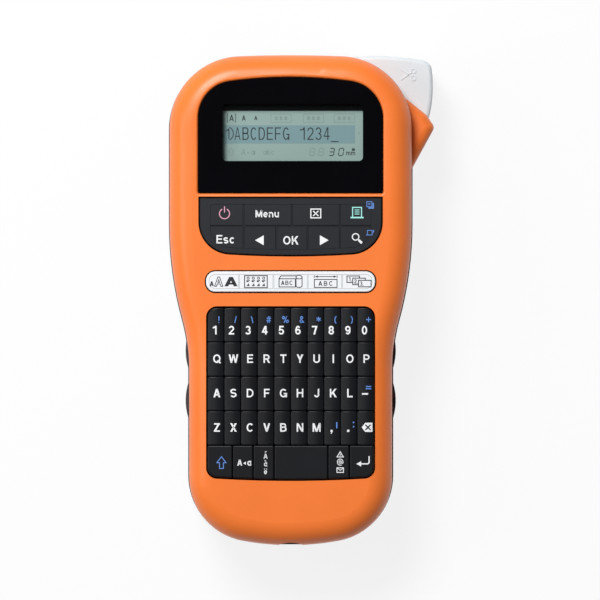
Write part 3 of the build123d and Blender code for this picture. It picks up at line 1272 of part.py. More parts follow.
# Cassette case, open towards the back, with posts for its rolls and a slot for the tape
with BuildPart() as cassette_case:
    with BuildSketch(Plane.XY.offset(LID_TOP)):
        add(cassette_face())
    extrude(amount=CASSETTE_Z + CASSETTE_HEIGHT - LID_TOP)
    with BuildSketch(Plane.XY.offset(LID_TOP)):
        add(cassette_face(CASSETTE_WALL))
    extrude(amount=CASSETTE_HEIGHT - 2 * CASSETTE_WALL, mode=Mode.SUBTRACT)
    with BuildSketch(Plane.XY.offset(LID_TOP)):
        add(post_holes([(ROLL_X, ROLL_Y)], ROLL_BORE - ROLL_FIT))
    extrude(amount=CASSETTE_HEIGHT - CASSETTE_WALL)
    with BuildSketch(Plane.XY.offset(LID_TOP)):
        add(post_holes([SPINDLE_AXIS], SPINDLE_RADIUS + SPINDLE_ROOM))
    extrude(amount=CASSETTE_HEIGHT, mode=Mode.SUBTRACT)
    with BuildSketch(Plane.XY.offset(TAPE_Z - BAY_GAP)):
        with Locations((TAPE_SLOT_X, CASSETTE_TOP)):
            Rectangle(TAPE_SLOT, 4 * CASSETTE_WALL)
    extrude(amount=TAPE_WIDTH + 2 * BAY_GAP, mode=Mode.SUBTRACT)
save(cassette_case.part, "cassette_case")
with BuildPart() as cassette_lid:
    with BuildSketch(Plane.XY.offset(CASSETTE_Z)):
        add(cassette_face())
        add(post_holes([SPINDLE_AXIS], SPINDLE_RADIUS + SPINDLE_ROOM), mode=Mode.SUBTRACT)
    extrude(amount=CASSETTE_WALL)
save(cassette_lid.part, "cassette_lid")

# Roll of label tape on the cassette's post
with BuildPart() as tape_roll:
    with BuildSketch(Plane.XY.offset(TAPE_Z)):
        add(post_holes([(ROLL_X, ROLL_Y)], ROLL_RADIUS))
        add(post_holes([(ROLL_X, ROLL_Y)], ROLL_BORE), mode=Mode.SUBTRACT)
    extrude(amount=TAPE_WIDTH)
save(tape_roll.part, "tape_roll")

# Label tape from the cassette's slot, past the head and the roller, to the blade
with BuildPart() as label_tape:
    with BuildSketch(Plane.XY.offset(TAPE_Z)):
        with BuildLine() as path:
            FilletPolyline((TAPE_SLOT_X, CASSETTE_TOP - 2 * CASSETTE_WALL),
                           (TAPE_SLOT_X, TAPE_Y + TAPE_THICKNESS / 2),
                           (BLADE_X - TAPE_END, TAPE_Y + TAPE_THICKNESS / 2), radius=TAPE_BEND)
        trace(path.line, line_width=TAPE_THICKNESS)
    extrude(amount=TAPE_WIDTH)
save(label_tape.part, "label_tape")

# Six cells side by side
cell_places = [(place - (CELL_COUNT - 1) / 2) * CELL_PITCH for place in range(CELL_COUNT)]
with BuildPart() as batteries:
    for x in cell_places:
        with BuildSketch(Plane.XZ.offset(-CELL_MID - CELL_LENGTH / 2)):
            with Locations((x, CELL_Z)):
                Circle(CELL_RADIUS)
        extrude(amount=CELL_LENGTH)
    fillet(batteries.edges().filter_by(GeomType.CIRCLE), radius=CELL_EDGE)
save(batteries.part, "batteries")

# Contact plates at both ends of the cells, each across two of them
with BuildPart() as battery_contacts:
    for end in (-1, 1):
        with BuildSketch(Plane.XY.offset(CELL_Z - CELL_RADIUS + BAY_GAP)):
            contact_y = CELL_MID + end * (CELL_BAY_LENGTH - CONTACT_THICKNESS) / 2
            for x in cell_places[::2]:
                with Locations((x + CELL_PITCH / 2, contact_y)):
                    Rectangle(2 * CELL_PITCH - 2 * CELL_BAY_FIT, CONTACT_THICKNESS)
        extrude(amount=2 * CELL_RADIUS - 2 * BAY_GAP)
save(battery_contacts.part, "battery_contacts")

# Power inlet: a round socket with a wide mouth, a bore and a centre pin
with BuildPart() as dc_jack:
    with BuildSketch(Plane.XZ.offset(JACK_FACE - JACK_LENGTH)):
        with Locations((0, PART_Z)):
            Circle(JACK_RADIUS)
    extrude(amount=JACK_LENGTH)
    with BuildSketch(Plane.XZ.offset(JACK_FACE - JACK_MOUTH_DEPTH)):
        with Locations((0, PART_Z)):
            Circle(JACK_MOUTH)
    extrude(amount=JACK_MOUTH_DEPTH, mode=Mode.SUBTRACT)
    with BuildSketch(Plane.XZ.offset(JACK_FACE - JACK_LENGTH + WALL)):
        with Locations((0, PART_Z)):
            Circle(JACK_BORE)
    extrude(amount=JACK_LENGTH - WALL, mode=Mode.SUBTRACT)
    with BuildSketch(Plane.XZ.offset(JACK_FACE - JACK_LENGTH)):
        with Locations((0, PART_Z)):
            Circle(JACK_PIN)
    extrude(amount=JACK_LENGTH - JACK_MOUTH_DEPTH - JACK_PIN)
save(dc_jack.part, "dc_jack")


def screws(places, seat, way, length):
    """Round-headed screws: the head's underside at the seat, the shank going up (1) or down (-1)."""
    with BuildPart() as group:
        with BuildSketch(Plane.XY.offset(seat)):
            add(post_holes(places, SCREW_RADIUS))
        extrude(amount=way * length)
        with BuildSketch(Plane.XY.offset(seat)):
            add(post_holes(places, SCREW_HEAD))
        extrude(amount=-way * SCREW_HEAD_HEIGHT)
    return group.part


# All the screws, in one group
with BuildPart() as all_screws:
    add(screws(CASE_SCREWS, SCREW_SEAT, 1, SCREW_END - SCREW_SEAT))
    add(screws(BOARD_SCREWS, BOARD_Z, 1, BOARD_THICKNESS + BOARD_SCREW_GRIP - BAY_GAP))
    add(screws(CHASSIS_SCREWS, PLATE_TOP, -1, PLATE_THICKNESS + DECK_THICKNESS))
save(all_screws.part, "screws")
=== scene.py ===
"""Looks of the hand-held label maker: materials, key legends, display contents, light and camera."""
from functools import lru_cache
from math import cos, hypot, radians, sin

import bmesh
import bpy
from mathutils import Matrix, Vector
from mathutils.bvhtree import BVHTree


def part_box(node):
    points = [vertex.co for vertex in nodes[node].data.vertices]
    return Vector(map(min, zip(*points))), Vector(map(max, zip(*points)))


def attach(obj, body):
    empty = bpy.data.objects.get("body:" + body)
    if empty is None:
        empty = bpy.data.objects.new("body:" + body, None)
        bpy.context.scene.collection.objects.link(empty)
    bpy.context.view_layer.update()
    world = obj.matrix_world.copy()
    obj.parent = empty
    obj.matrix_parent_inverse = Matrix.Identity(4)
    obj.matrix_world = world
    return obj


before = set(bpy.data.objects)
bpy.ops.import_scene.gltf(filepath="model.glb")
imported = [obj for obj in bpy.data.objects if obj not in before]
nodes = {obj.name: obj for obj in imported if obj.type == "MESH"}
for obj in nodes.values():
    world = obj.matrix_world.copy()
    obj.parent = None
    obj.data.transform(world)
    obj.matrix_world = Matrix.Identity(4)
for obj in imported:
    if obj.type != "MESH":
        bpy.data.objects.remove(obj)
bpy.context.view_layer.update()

MM = 0.001

# Print that lies on a surface: how far it stands proud, how deep it is sunk, the step from layer to layer,
# the longest edge (mm) of print that follows a dome, and the distance (mm) within which corners are joined
INK_PROUD = 0.03 * MM
INK_SINK = 0.04 * MM
LAYER_STEP = 0.02 * MM
INK_EDGE = 0.8
WELD = 1e-5

# Rows of ten keys, with the marks over some of them
COLUMNS = 10
ROW_LEGENDS = {"number_keys": "1234567890", "upper_letter_keys": "QWERTYUIOP",
               "home_letter_keys": "ASDFGHJKL", "lower_letter_keys": "ZXCVBNM"}
NUMBER_MARKS = "!/\\#%&*()+"
KEY_GAP = 0.16
DIGIT_SHIFT = (-0.4, -2.2)
MARK_SHIFT = (1.3, 2.2)
LETTER_SHIFT = (0.45, 0.25)
DIGIT_HEIGHT = 3.6
LETTER_HEIGHT = 3.55
MARK_HEIGHT = 2.8
KEY_WEIGHT = 0.17
KEY_STRETCH = 1.1
MARK_WEIGHT = 0.135
COMMA_WEIGHT = 0.24

FUNCTION_KEYS = ["power_key", "menu_key", "clear_key", "print_key", "escape_key", "left_key", "ok_key",
                 "right_key", "preview_key"]
TEMPLATE_KEYS = ["font_key", "frame_key", "wrap_key", "length_key", "serial_key"]
WIDE_KEYS = ["shift_key", "caps_key", "accent_key", "space_key", "symbol_key", "enter_key"]

# Words on the function keys: text, height of its capitals, and shift from the key's middle
WORDS = {"menu_key": ("Menu", 3.0, (-0.2, 0.45)), "escape_key": ("Esc", 3.5, (-0.45, -0.75)),
         "ok_key": ("OK", 3.5, (-0.4, -0.95))}
WORD_WEIGHT = 0.165
WORD_STRETCH = 1.1

# Display: the text and its cells, the band behind it, and the rows over and under it
SHOWN_TEXT = "ABCDEFG 1234"
SHOWN_NUMBER = "30"
TEXT_START = -23.0
TEXT_WEIGHT = 0.09
CELL_PITCH = 3.37
CELL_HIGH = 5.2
CELL_WIDE = 2.5
BAND_SHIFT = (-1.4, -0.6)
BAND_SIZE = (54.6, 7.6)
# Dark strip along the top of the display: painted shadow of the bezel's upper edge, drawn as a dark border
PAINTED_SHADOW_RISE = 10.65
PAINTED_SHADOW_HIGH = 3.0
PAINTED_SHADOW_MARGIN = 0.4
NUMBER_PITCH = 3.9
GHOST_PITCH = 3.75

# Moulded sign on the lever
SIGN_PROUD = 0.25 * MM
SIGN_LINE = 0.4
SIGN_INSET = (10.8, 7.9)

# Grain of every material
NOISE_SPAN = (0.3, 0.7)
ROUGH_SPREAD = 0.15
RELIEF = 0.1 * MM
COAT_ROUGHNESS = 0.08

# Light: place, size and power of each lamp, and the even light from all round
KEY_LIGHT = ((-0.38, 0.76, 1.32), 0.6, 22.4)
FILL_LIGHT = ((-0.9, 0.1, 0.8), 0.5, 2.4)
SKY_COLOUR = (0.95, 0.97, 1.0, 1)
SKY_STRENGTH = 0.15

# Floor, just under the object, and the share of plain white that the camera sees on it
FLOOR_SIZE = 8.0
FLOOR_DROP = 0.3 * MM
FLOOR_COLOUR = (0.9, 0.9, 0.9, 1)
FLOOR_ROUGHNESS = 0.9
FLOOR_GLOW = 0.85

# Camera straight above the face, far off and with a long lens
CAMERA_AT = (0.0039, 0.00008, 2.228)
CAMERA_LENS = 314.0
CAMERA_REACH = 20.0


# Materials

def noise(tree, coords, scale, detail):
    node = tree.nodes.new("ShaderNodeTexNoise")
    node.inputs["Scale"].default_value = scale
    node.inputs["Detail"].default_value = detail
    tree.links.new(coords, node.inputs["Vector"])
    return node.outputs["Fac"]


def spread(tree, value, low, high):
    """Stretch a noise over a range of values."""
    node = tree.nodes.new("ShaderNodeMapRange")
    node.inputs["From Min"].default_value, node.inputs["From Max"].default_value = NOISE_SPAN
    node.inputs["To Min"].default_value = low
    node.inputs["To Max"].default_value = high
    tree.links.new(value, node.inputs["Value"])
    return node.outputs["Result"]


def finish(name, colour, rough, tone=0.05, grain=2600.0, bump=0.05, stretch=(1, 1, 1), metal=0.0, coat=0.0,
           specular=0.5, alpha=1.0, mottle=45.0):
    """A material with a mottled tone, an uneven roughness and a fine grain."""
    material = bpy.data.materials.new(name)
    material.use_nodes = True
    tree = material.node_tree
    shader = tree.nodes["Principled BSDF"]
    place = tree.nodes.new("ShaderNodeTexCoord")
    mapping = tree.nodes.new("ShaderNodeMapping")
    mapping.inputs["Scale"].default_value = stretch
    tree.links.new(place.outputs["Object"], mapping.inputs["Vector"])
    coords = mapping.outputs["Vector"]
    broad = noise(tree, coords, mottle, 3.0)
    fine = noise(tree, coords, grain, 2.0)

    mix = tree.nodes.new("ShaderNodeMix")
    mix.data_type = "RGBA"
    mix.inputs["A"].default_value = [max(0.0, c * (1 - tone)) for c in colour] + [1]
    mix.inputs["B"].default_value = [min(1.0, c * (1 + tone)) for c in colour] + [1]
    tree.links.new(spread(tree, broad, 0.0, 1.0), mix.inputs["Factor"])
    tree.links.new(mix.outputs["Result"], shader.inputs["Base Color"])

    rough_span = rough * (1 - ROUGH_SPREAD), min(1.0, rough * (1 + ROUGH_SPREAD))
    tree.links.new(spread(tree, fine, *rough_span), shader.inputs["Roughness"])
    relief = tree.nodes.new("ShaderNodeBump")
    relief.inputs["Strength"].default_value = bump
    relief.inputs["Distance"].default_value = RELIEF
    tree.links.new(fine, relief.inputs["Height"])
    tree.links.new(relief.outputs["Normal"], shader.inputs["Normal"])

    shader.inputs["Metallic"].default_value = metal
    shader.inputs["Specular IOR Level"].default_value = specular
    shader.inputs["Coat Weight"].default_value = coat
    shader.inputs["Coat Roughness"].default_value = COAT_ROUGHNESS
    shader.inputs["Alpha"].default_value = alpha
    return material


ORANGE = finish("orange_plastic", (0.96, 0.212, 0.036), 0.36, tone=0.03, bump=0.035, specular=0.4)
CHARCOAL = finish("charcoal_plastic", (0.022, 0.022, 0.026), 0.5, tone=0.12, grain=1900.0, bump=0.16)
WHITE = finish("white_plastic", (0.73, 0.78, 0.81), 0.38, tone=0.015, bump=0.03)
BEZEL = finish("gloss_black", (0.0018, 0.0017, 0.0026), 0.07, tone=0.2, grain=900.0, bump=0.004, specular=0.1)
PANEL = finish("panel_grey", (0.013, 0.014, 0.018), 0.42, tone=0.1, grain=3200.0, bump=0.07, specular=0.3)
STRIP = finish("strip_white", (0.88, 0.90, 0.92), 0.36, tone=0.015, bump=0.03)
RUBBER = finish("key_rubber", (0.0045, 0.005, 0.0072), 0.4, tone=0.14, grain=3000.0, bump=0.07, specular=0.3)
WINDOW = finish("clear_window", (0.03, 0.035, 0.035), 0.05, tone=0.05, grain=500.0, bump=0.002, alpha=0.05)
LCD = finish("lcd_glass", (0.31, 0.44, 0.405), 0.42, tone=0.035, grain=1500.0, bump=0.01)
BLACK = finish("moulded_black", (0.012, 0.012, 0.013), 0.5, tone=0.12, bump=0.08)
BOARD = finish("solder_mask", (0.012, 0.115, 0.045), 0.36, tone=0.2, grain=1200.0, bump=0.05)
CHIP = finish("chip_black", (0.018, 0.018, 0.019), 0.55, tone=0.1, bump=0.12)
MAT = finish("silicone_mat", (0.012, 0.012, 0.014), 0.62, tone=0.06, bump=0.08)
STEEL = finish("brushed_steel", (0.60, 0.61, 0.63), 0.3, tone=0.08, grain=900.0, bump=0.06,
               stretch=(1, 12, 12), metal=1.0)
NYLON = finish("gear_nylon", (0.78, 0.77, 0.71), 0.42, tone=0.04, bump=0.05)
PLATEN = finish("platen_rubber", (0.02, 0.02, 0.021), 0.7, tone=0.15, grain=1600.0, bump=0.14)
SINK = finish("milled_aluminium", (0.74, 0.75, 0.77), 0.34, tone=0.05, grain=800.0, bump=0.06,
              stretch=(10, 1, 1), metal=1.0)
CERAMIC = finish("glazed_ceramic", (0.62, 0.60, 0.54), 0.2, tone=0.05, bump=0.02)
CASSETTE = finish("cassette_grey", (0.42, 0.43, 0.45), 0.4, tone=0.04, grain=2000.0, bump=0.08)
TAPE = finish("tape_film", (0.82, 0.82, 0.80), 0.28, tone=0.02, bump=0.01)
CELL = finish("cell_jacket", (0.03, 0.07, 0.16), 0.22, tone=0.1, bump=0.02, coat=0.3)
NICKEL = finish("nickel_plate", (0.66, 0.64, 0.58), 0.24, tone=0.06, bump=0.03, metal=1.0)

WHITE_INK = finish("white_ink", (0.90, 0.91, 0.92), 0.5, tone=0.03, bump=0.03)
BLUE_INK = finish("blue_ink", (0.125, 0.29, 0.74), 0.5, tone=0.05, bump=0.03)
PINK_INK = finish("pink_ink", (0.80, 0.37, 0.50), 0.5, tone=0.04, bump=0.03)
MINT_INK = finish("mint_ink", (0.38, 0.87, 0.80), 0.5, tone=0.04, bump=0.03)
DARK_INK = finish("dark_ink", (0.012, 0.013, 0.016), 0.5, tone=0.1, bump=0.03)
GREY_INK = finish("grey_ink", (0.05, 0.055, 0.06), 0.5, tone=0.05, bump=0.03)
SEGMENT = finish("lcd_segment", (0.012, 0.028, 0.032), 0.5, tone=0.06, bump=0.01)
GHOST = finish("lcd_ghost", (0.237, 0.338, 0.31), 0.5, tone=0.04, bump=0.01)
BAND = finish("lcd_band", (0.20, 0.342, 0.36), 0.45, tone=0.04, bump=0.01)

node_finishes = {
    "front_case": ORANGE, "rear_case": CHARCOAL, "rear_cover": CHARCOAL, "cutter_lever": WHITE,
    "cutter_blade": STEEL, "display_bezel": BEZEL, "display_window": WINDOW, "lcd_panel": LCD,
    "lcd_frame": BLACK, "main_board": BOARD, "board_components": CHIP, "keypad_mat": MAT,
    "function_panel": PANEL, "template_panel": STRIP, "lever_pivot_pin": STEEL, "lever_spring": STEEL,
    "chassis_plate": STEEL, "feed_motor": STEEL, "roller_holder": BLACK, "print_head": CERAMIC,
    "head_bracket": SINK, "cassette_case": CASSETTE, "cassette_lid": CASSETTE, "label_tape": TAPE,
    "batteries": CELL, "battery_contacts": NICKEL, "dc_jack": BLACK, "screws": STEEL, "platen_gear": NYLON,
    "platen_roller": PLATEN, "idler_gear": NYLON, "takeup_spindle": NYLON, "ribbon_spool": CASSETTE,
    "reduction_gear": NYLON, "motor_pinion": NICKEL, "tape_roll": TAPE}
node_finishes.update({name: RUBBER for name in list(ROW_LEGENDS) + WIDE_KEYS})
node_finishes.update({name: PANEL for name in FUNCTION_KEYS})
node_finishes.update({name: STRIP for name in TEMPLATE_KEYS})

for name, node in nodes.items():
    node.data.materials.clear()
    node.data.materials.append(node_finishes[name])


# Print: flat shapes in millimetres, gathered by piece and laid on a surface

def new_print():
    return bmesh.new()


def polygon(ink, points):
    """A filled shape."""
    ink.faces.new([ink.verts.new((x, y, 0)) for x, y in points])


def stroke(ink, points, width, closed=False):
    """A line of one width along points, with mitred corners."""
    count = len(points)
    pairs = []
    for place, (x, y) in enumerate(points):
        before = points[place - 1] if place or closed else None
        after = points[(place + 1) % count] if place < count - 1 or closed else None
        ways = []
        for start, end in ((before, (x, y)), ((x, y), after)):
            if start and end:
                length = hypot(end[0] - start[0], end[1] - start[1])
                ways.append(((start[1] - end[1]) / length, (end[0] - start[0]) / length))
        nx = sum(way[0] for way in ways) / len(ways)
        ny = sum(way[1] for way in ways) / len(ways)
        reach = width / 2 / (nx * nx + ny * ny)
        pairs.append((ink.verts.new((x + nx * reach, y + ny * reach, 0)),
                      ink.verts.new((x - nx * reach, y - ny * reach, 0))))
    for place in range(count if closed else count - 1):
        left, right = pairs[place]
        next_left, next_right = pairs[(place + 1) % count]
        ink.faces.new((right, next_right, next_left, left))


def oval(centre, reach_x, reach_y, start=0, end=345, steps=23):
    """Points along an upright ellipse, its angles in degrees. By default they go once round, none twice."""
    angles = [radians(start + (end - start) * step / steps) for step in range(steps + 1)]
    return [(centre[0] + reach_x * cos(angle), centre[1] + reach_y * sin(angle)) for angle in angles]


def arc(centre, radius, start, end, steps):
    """Points along an arc, its angles in degrees."""
    return oval(centre, radius, radius, start, end, steps)


def ring(ink, centre, radius, width):
    stroke(ink, oval(centre, radius, radius), width, closed=True)


def rectangle(centre, width, height):
    """The corners of a rectangle."""
    x, y = centre
    a, b = width / 2, height / 2
    return [(x - a, y - b), (x + a, y - b), (x + a, y + b), (x - a, y + b)]


def outline(ink, centre, width, height, line):
    """The outline of a rectangle."""
    stroke(ink, rectangle(centre, width, height), line, closed=True)


def block(ink, centre, width, height):
    """A filled rectangle."""
    polygon(ink, rectangle(centre, width, height))


# Letters: strokes and filled shapes in a box one unit high, for a stroke of width w

X_HEIGHT = 0.73


def shape(wide, lines=(), loops=(), fills=()):
    """A letter: its width, its strokes, its closed strokes and its filled shapes."""
    return wide, lines, loops, fills


def slope(x0, y0, x1, y1, across):
    """A slanted stroke, cut level at both ends."""
    half = across / 2
    return [(x0 - half, y0), (x0 + half, y0), (x1 + half, y1), (x1 - half, y1)]


def bowl(stem, right, low, high, flat):
    """The round side of a letter, from a stem and back to it."""
    middle, reach = (low + high) / 2, (high - low) / 2
    bend = right - flat
    return [(stem, high)] + oval((bend, middle), flat, reach, 90, -90, 12) + [(stem, low)]


def s_curve(wide, low, high, w):
    """The line of an S between two heights."""
    half, quarter = (low + high) / 2, (high - low - w) / 4
    upper = oval((wide / 2, half + quarter), wide / 2 - w / 2, quarter, 25, 270, 16)
    lower = oval((wide / 2, half - quarter), wide / 2 - w / 2, quarter, 90, -155, 16)
    return upper + lower[1:]


def capitals(w):
    """The capitals for a stroke of width w."""
    t, hi = w / 2, 1 - w / 2
    stem = [(t, 0), (t, 1)]
    return {
        "A": shape(0.74, [[(0.17, 0.29), (0.57, 0.29)]],
                   fills=[slope(0.55 * w, 0, 0.37, 1, 1.1 * w), slope(0.74 - 0.55 * w, 0, 0.37, 1, 1.1 * w)]),
        "B": shape(0.7, [stem, bowl(t, 0.66 - t, 0.52, hi, 0.2), bowl(t, 0.7 - t, t, 0.52, 0.22)]),
        "C": shape(0.76, [oval((0.38, 0.5), 0.38 - t, hi - 0.5, 42, 318)]),
        "D": shape(0.74, [stem, bowl(t, 0.74 - t, t, hi, 0.34)]),
        "E": shape(0.64, [stem, [(t, hi), (0.64, hi)], [(t, 0.52), (0.6, 0.52)], [(t, t), (0.64, t)]]),
        "F": shape(0.6, [stem, [(t, hi), (0.6, hi)], [(t, 0.49), (0.54, 0.49)]]),
        "G": shape(0.78, [oval((0.39, 0.5), 0.39 - t, hi - 0.5, 42, 322), [(0.42, 0.44), (0.78, 0.44)],
                          [(0.78 - t, 0.46), (0.78 - t, 0)]]),
        "H": shape(0.72, [stem, [(0.72 - t, 0), (0.72 - t, 1)], [(t, 0.52), (0.72 - t, 0.52)]]),
        "I": shape(w, [stem]),
        "J": shape(0.56, [[(0.56 - t, 1)] + oval((0.28, 0.3), 0.28 - t, 0.3 - t, 0, -175)]),
        "K": shape(0.74, [stem], fills=[slope(0.8 * w, 0.34, 0.74 - 0.75 * w, 1, 1.35 * w),
                                        slope(0.34, 0.6, 0.74 - 0.62 * w, 0, 1.2 * w)]),
        "L": shape(0.6, [[(t, 1), (t, t), (0.6, t)]]),
        "M": shape(0.86, [stem, [(0.86 - t, 0), (0.86 - t, 1)]],
                   fills=[slope(0.6 * w, 1, 0.43, 0, 1.1 * w), slope(0.86 - 0.6 * w, 1, 0.43, 0, 1.1 * w)]),
        "N": shape(0.72, [stem, [(0.72 - t, 0), (0.72 - t, 1)]],
                   fills=[slope(0.62 * w, 1, 0.72 - 0.62 * w, 0, 1.2 * w)]),
        "O": shape(0.8, loops=[oval((0.4, 0.5), 0.4 - t, hi - 0.5)]),
        "P": shape(0.67, [stem, bowl(t, 0.67 - t, 0.44, hi, 0.24)]),
        "Q": shape(0.8, [[(0.45, 0.3), (0.8, -0.03)]], [oval((0.4, 0.5), 0.4 - t, hi - 0.5)]),
        "R": shape(0.71, [stem, bowl(t, 0.67 - t, 0.46, hi, 0.24)],
                   fills=[slope(0.4, 0.46, 0.71 - 0.6 * w, 0, 1.2 * w)]),
        "S": shape(0.68, [s_curve(0.68, 0, 1, w)]),
        "T": shape(0.66, [[(0, hi), (0.66, hi)], [(0.33, hi), (0.33, 0)]]),
        "U": shape(0.72, [[(t, 1)] + oval((0.36, 0.34), 0.36 - t, 0.34 - t, 180, 360) + [(0.72 - t, 1)]]),
        "V": shape(0.72, fills=[slope(0.55 * w, 1, 0.36, 0, 1.1 * w),
                                slope(0.72 - 0.55 * w, 1, 0.36, 0, 1.1 * w)]),
        "W": shape(1.02, fills=[slope(0.5 * w, 1, 0.28, 0, w), slope(0.28, 0, 0.51, 1, w),
                                slope(0.51, 1, 0.74, 0, w), slope(0.74, 0, 1.02 - 0.5 * w, 1, w)]),
        "X": shape(0.72, fills=[slope(0.62 * w, 0, 0.72 - 0.62 * w, 1, 1.24 * w),
                                slope(0.62 * w, 1, 0.72 - 0.62 * w, 0, 1.24 * w)]),
        "Y": shape(0.72, [[(0.36, 0.46), (0.36, 0)]],
                   fills=[slope(0.6 * w, 1, 0.36, 0.38, 1.15 * w),
                          slope(0.72 - 0.6 * w, 1, 0.36, 0.38, 1.15 * w)]),
        "Z": shape(0.65, [[(0.03, hi), (0.65, hi)], [(0, t), (0.65, t)]],
                   fills=[slope(0.66 * w, t, 0.65 - 0.66 * w, hi, 1.3 * w)])}


def digits(w):
    """The digits for a stroke of width w."""
    t, hi = w / 2, 1 - w / 2
    quarter = (1 - w) / 4
    flag = [(0, 0.78 - t), (0.4 - w, 0.84 - t), (0.4 - t, 1), (0.4 - w, 1), (0.3 - w, 0.82 + t), (0, 0.78 + t)]
    hook = oval((0.29, 0.5), 0.29 - t, hi - 0.5, 42, 190, 14)
    loop = oval((0.29, 0.33), 0.29 - t, 0.33 - t)
    return {
        "0": shape(0.58, loops=[oval((0.29, 0.5), 0.29 - t, hi - 0.5)]),
        "1": shape(0.4, [[(0.4 - t, 0), (0.4 - t, 1)]], fills=[flag]),
        "2": shape(0.58, [oval((0.29, 0.69), 0.29 - t, 0.31 - t, 172, -38) + [(0.62 * w, 0.85 * w)],
                          [(0, t), (0.58, t)]]),
        "3": shape(0.58, [oval((0.28, 0.5 + quarter), 0.27 - t, quarter, 160, -90),
                          oval((0.28, 0.5 - quarter), 0.3 - t, quarter, 90, -160)]),
        "4": shape(0.6, [[(0.42, 0), (0.42, 1)], [(0, 0.29), (0.6, 0.29)]],
                   fills=[slope(0.5 * w, 0.29, 0.39, 1, 1.05 * w)]),
        "5": shape(0.58, [[(0.1, hi), (0.54, hi)], [(0.16, 1), (0.1, 0.4)],
                          oval((0.28, 0.33), 0.3 - t, 0.33 - t, 142, -160)]),
        "6": shape(0.58, [hook], [loop]),
        "7": shape(0.57, [[(0, hi), (0.57, hi)]],
                   fills=[slope(0.16 + 0.5 * w, 0, 0.57 - 0.58 * w, 1 - 0.6 * w, 1.1 * w)]),
        "8": shape(0.58, loops=[oval((0.29, 0.51 + quarter), 0.27 - t, quarter - 0.01),
                                oval((0.29, 0.5 - quarter), 0.29 - t, quarter)]),
        "9": shape(0.58, [[(0.58 - x, 1 - y) for x, y in hook]], [[(0.58 - x, 1 - y) for x, y in loop]])}


def small_letters(w):
    """The small letters that the legends use, for a stroke of width w."""
    t, top = w / 2, X_HEIGHT - w / 2
    middle = (0.29, X_HEIGHT / 2)
    reach = (0.29 - t, top - X_HEIGHT / 2)
    stem = [(t, 0), (t, X_HEIGHT)]
    arch = [(t, 0.3)] + oval((0.29, top - 0.26), 0.29 - t, 0.26, 180, 0, 12) + [(0.58 - t, 0)]
    arches = [[(left, 0.3)] + oval((left + 0.18, top - 0.18), 0.18, 0.18, 180, 0, 12) + [(left + 0.36, 0)]
              for left in (t, t + 0.36)]
    return {
        "a": shape(0.58, [[(0.58 - t, 0), (0.58 - t, X_HEIGHT)]], [oval(middle, *reach)]),
        "b": shape(0.58, [[(t, 0), (t, 1)]], [oval(middle, *reach)]),
        "c": shape(0.55, [oval(middle, *reach, 45, 315)]),
        "e": shape(0.58, [oval(middle, *reach, 0, 315), [(t, 0.36), (0.57, 0.36)]]),
        "m": shape(0.72 + w, arches + [stem]),
        "n": shape(0.58, [arch, stem]),
        "s": shape(0.53, [s_curve(0.53, 0, X_HEIGHT, 0.92 * w)]),
        "u": shape(0.58, [[(0.58 - x, X_HEIGHT - y) for x, y in line] for line in (arch, stem)])}


def marks(w):
    """The marks over and on the keys, for a stroke of width w."""
    t = w / 2
    spokes = [(0.36 * cos(radians(turn)), 0.36 * sin(radians(turn))) for turn in (30, 90, 150)]
    return {
        "!": shape(w, [[(t, 1), (t, 0.32)], [(t, w), (t, 0)]]),
        "/": shape(0.36, fills=[slope(t, 0, 0.36 - w + t, 1, w)]),
        "\\": shape(0.36, fills=[slope(0.36 - w + t, 0, t, 1, w)]),
        "#": shape(0.66, [[(0, y), (0.66, y)] for y in (0.34, 0.68)],
                   fills=[slope(x, 0, x + 0.1, 1, 0.85 * w) for x in (0.16, 0.4)]),
        "%": shape(0.88, [[(0.24, 0), (0.64, 1)]],
                   [oval(centre, 0.15, 0.17) for centre in ((0.16, 0.78), (0.72, 0.22))]),
        "&": shape(0.74, [[(0.2, 0.62), (0.66, 0.04)], oval((0.29, 0.26), 0.29 - t, 0.26 - t, 120, 375)],
                   [oval((0.31, 0.78), 0.2 - t * 0.7, 0.22 - t * 0.7)]),
        "*": shape(0.64, [[(0.32 - x, 0.56 - y), (0.32 + x, 0.56 + y)] for x, y in spokes]),
        "(": shape(0.34, [oval((0.5, 0.45), 0.4, 0.6, 118, 242, 12)]),
        ")": shape(0.34, [oval((-0.16, 0.45), 0.4, 0.6, 62, -62, 12)]),
        "+": shape(0.76, [[(0, 0.5), (0.76, 0.5)], [(0.38, 0.12), (0.38, 0.88)]]),
        ",": shape(w, [[(t, 0), (t, w)]], fills=[slope(0.2 * w, -0.2, 0.75 * w, 0.02, 0.5 * w)]),
        "@": shape(1.0, [[(0.68, 0.66), (0.66, 0.3)] + oval((0.5, 0.45), 0.45, 0.5, -22, 300)],
                   [oval((0.48, 0.46), 0.17, 0.2)])}


@lru_cache
def alphabet(w):
    return {**capitals(w), **digits(w), **small_letters(w), **marks(w)}


def lettering(ink, text, centre, height, weight, stretch=1.0, gap=0.12):
    """A text whose capitals have this height, with its middle at a point."""
    shapes = [alphabet(weight)[letter] for letter in text]
    total = sum(wide for wide, *rest in shapes) + gap * (len(shapes) - 1)
    line_width = weight * height

    def at(left, points):
        return [(centre[0] + (left + x) * height * stretch, centre[1] + (y - 0.5) * height) for x, y in points]

    left = -total / 2
    for wide, lines, loops, fills in shapes:
        for line in lines:
            stroke(ink, at(left, line), line_width)
        for loop in loops:
            stroke(ink, at(left, loop), line_width, closed=True)
        for fill in fills:
            polygon(ink, at(left, fill))
        left += wide + gap


# Laying print on a surface

@lru_cache
def surface(node):
    """A node's mesh as a search tree, and its highest level."""
    mesh = bmesh.new()
    mesh.from_mesh(nodes[node].data)
    tree = BVHTree.FromBMesh(mesh)
    mesh.free()
    return tree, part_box(node)[1].z


def surface_height(node, x, y):
    """The height of a node's upper surface over a point, in metres, or its highest level beside the node."""
    tree, highest = surface(node)
    hit = tree.ray_cast(Vector((x, y, 1.0)), Vector((0, 0, -1)))[0]
    return hit.z if hit else highest


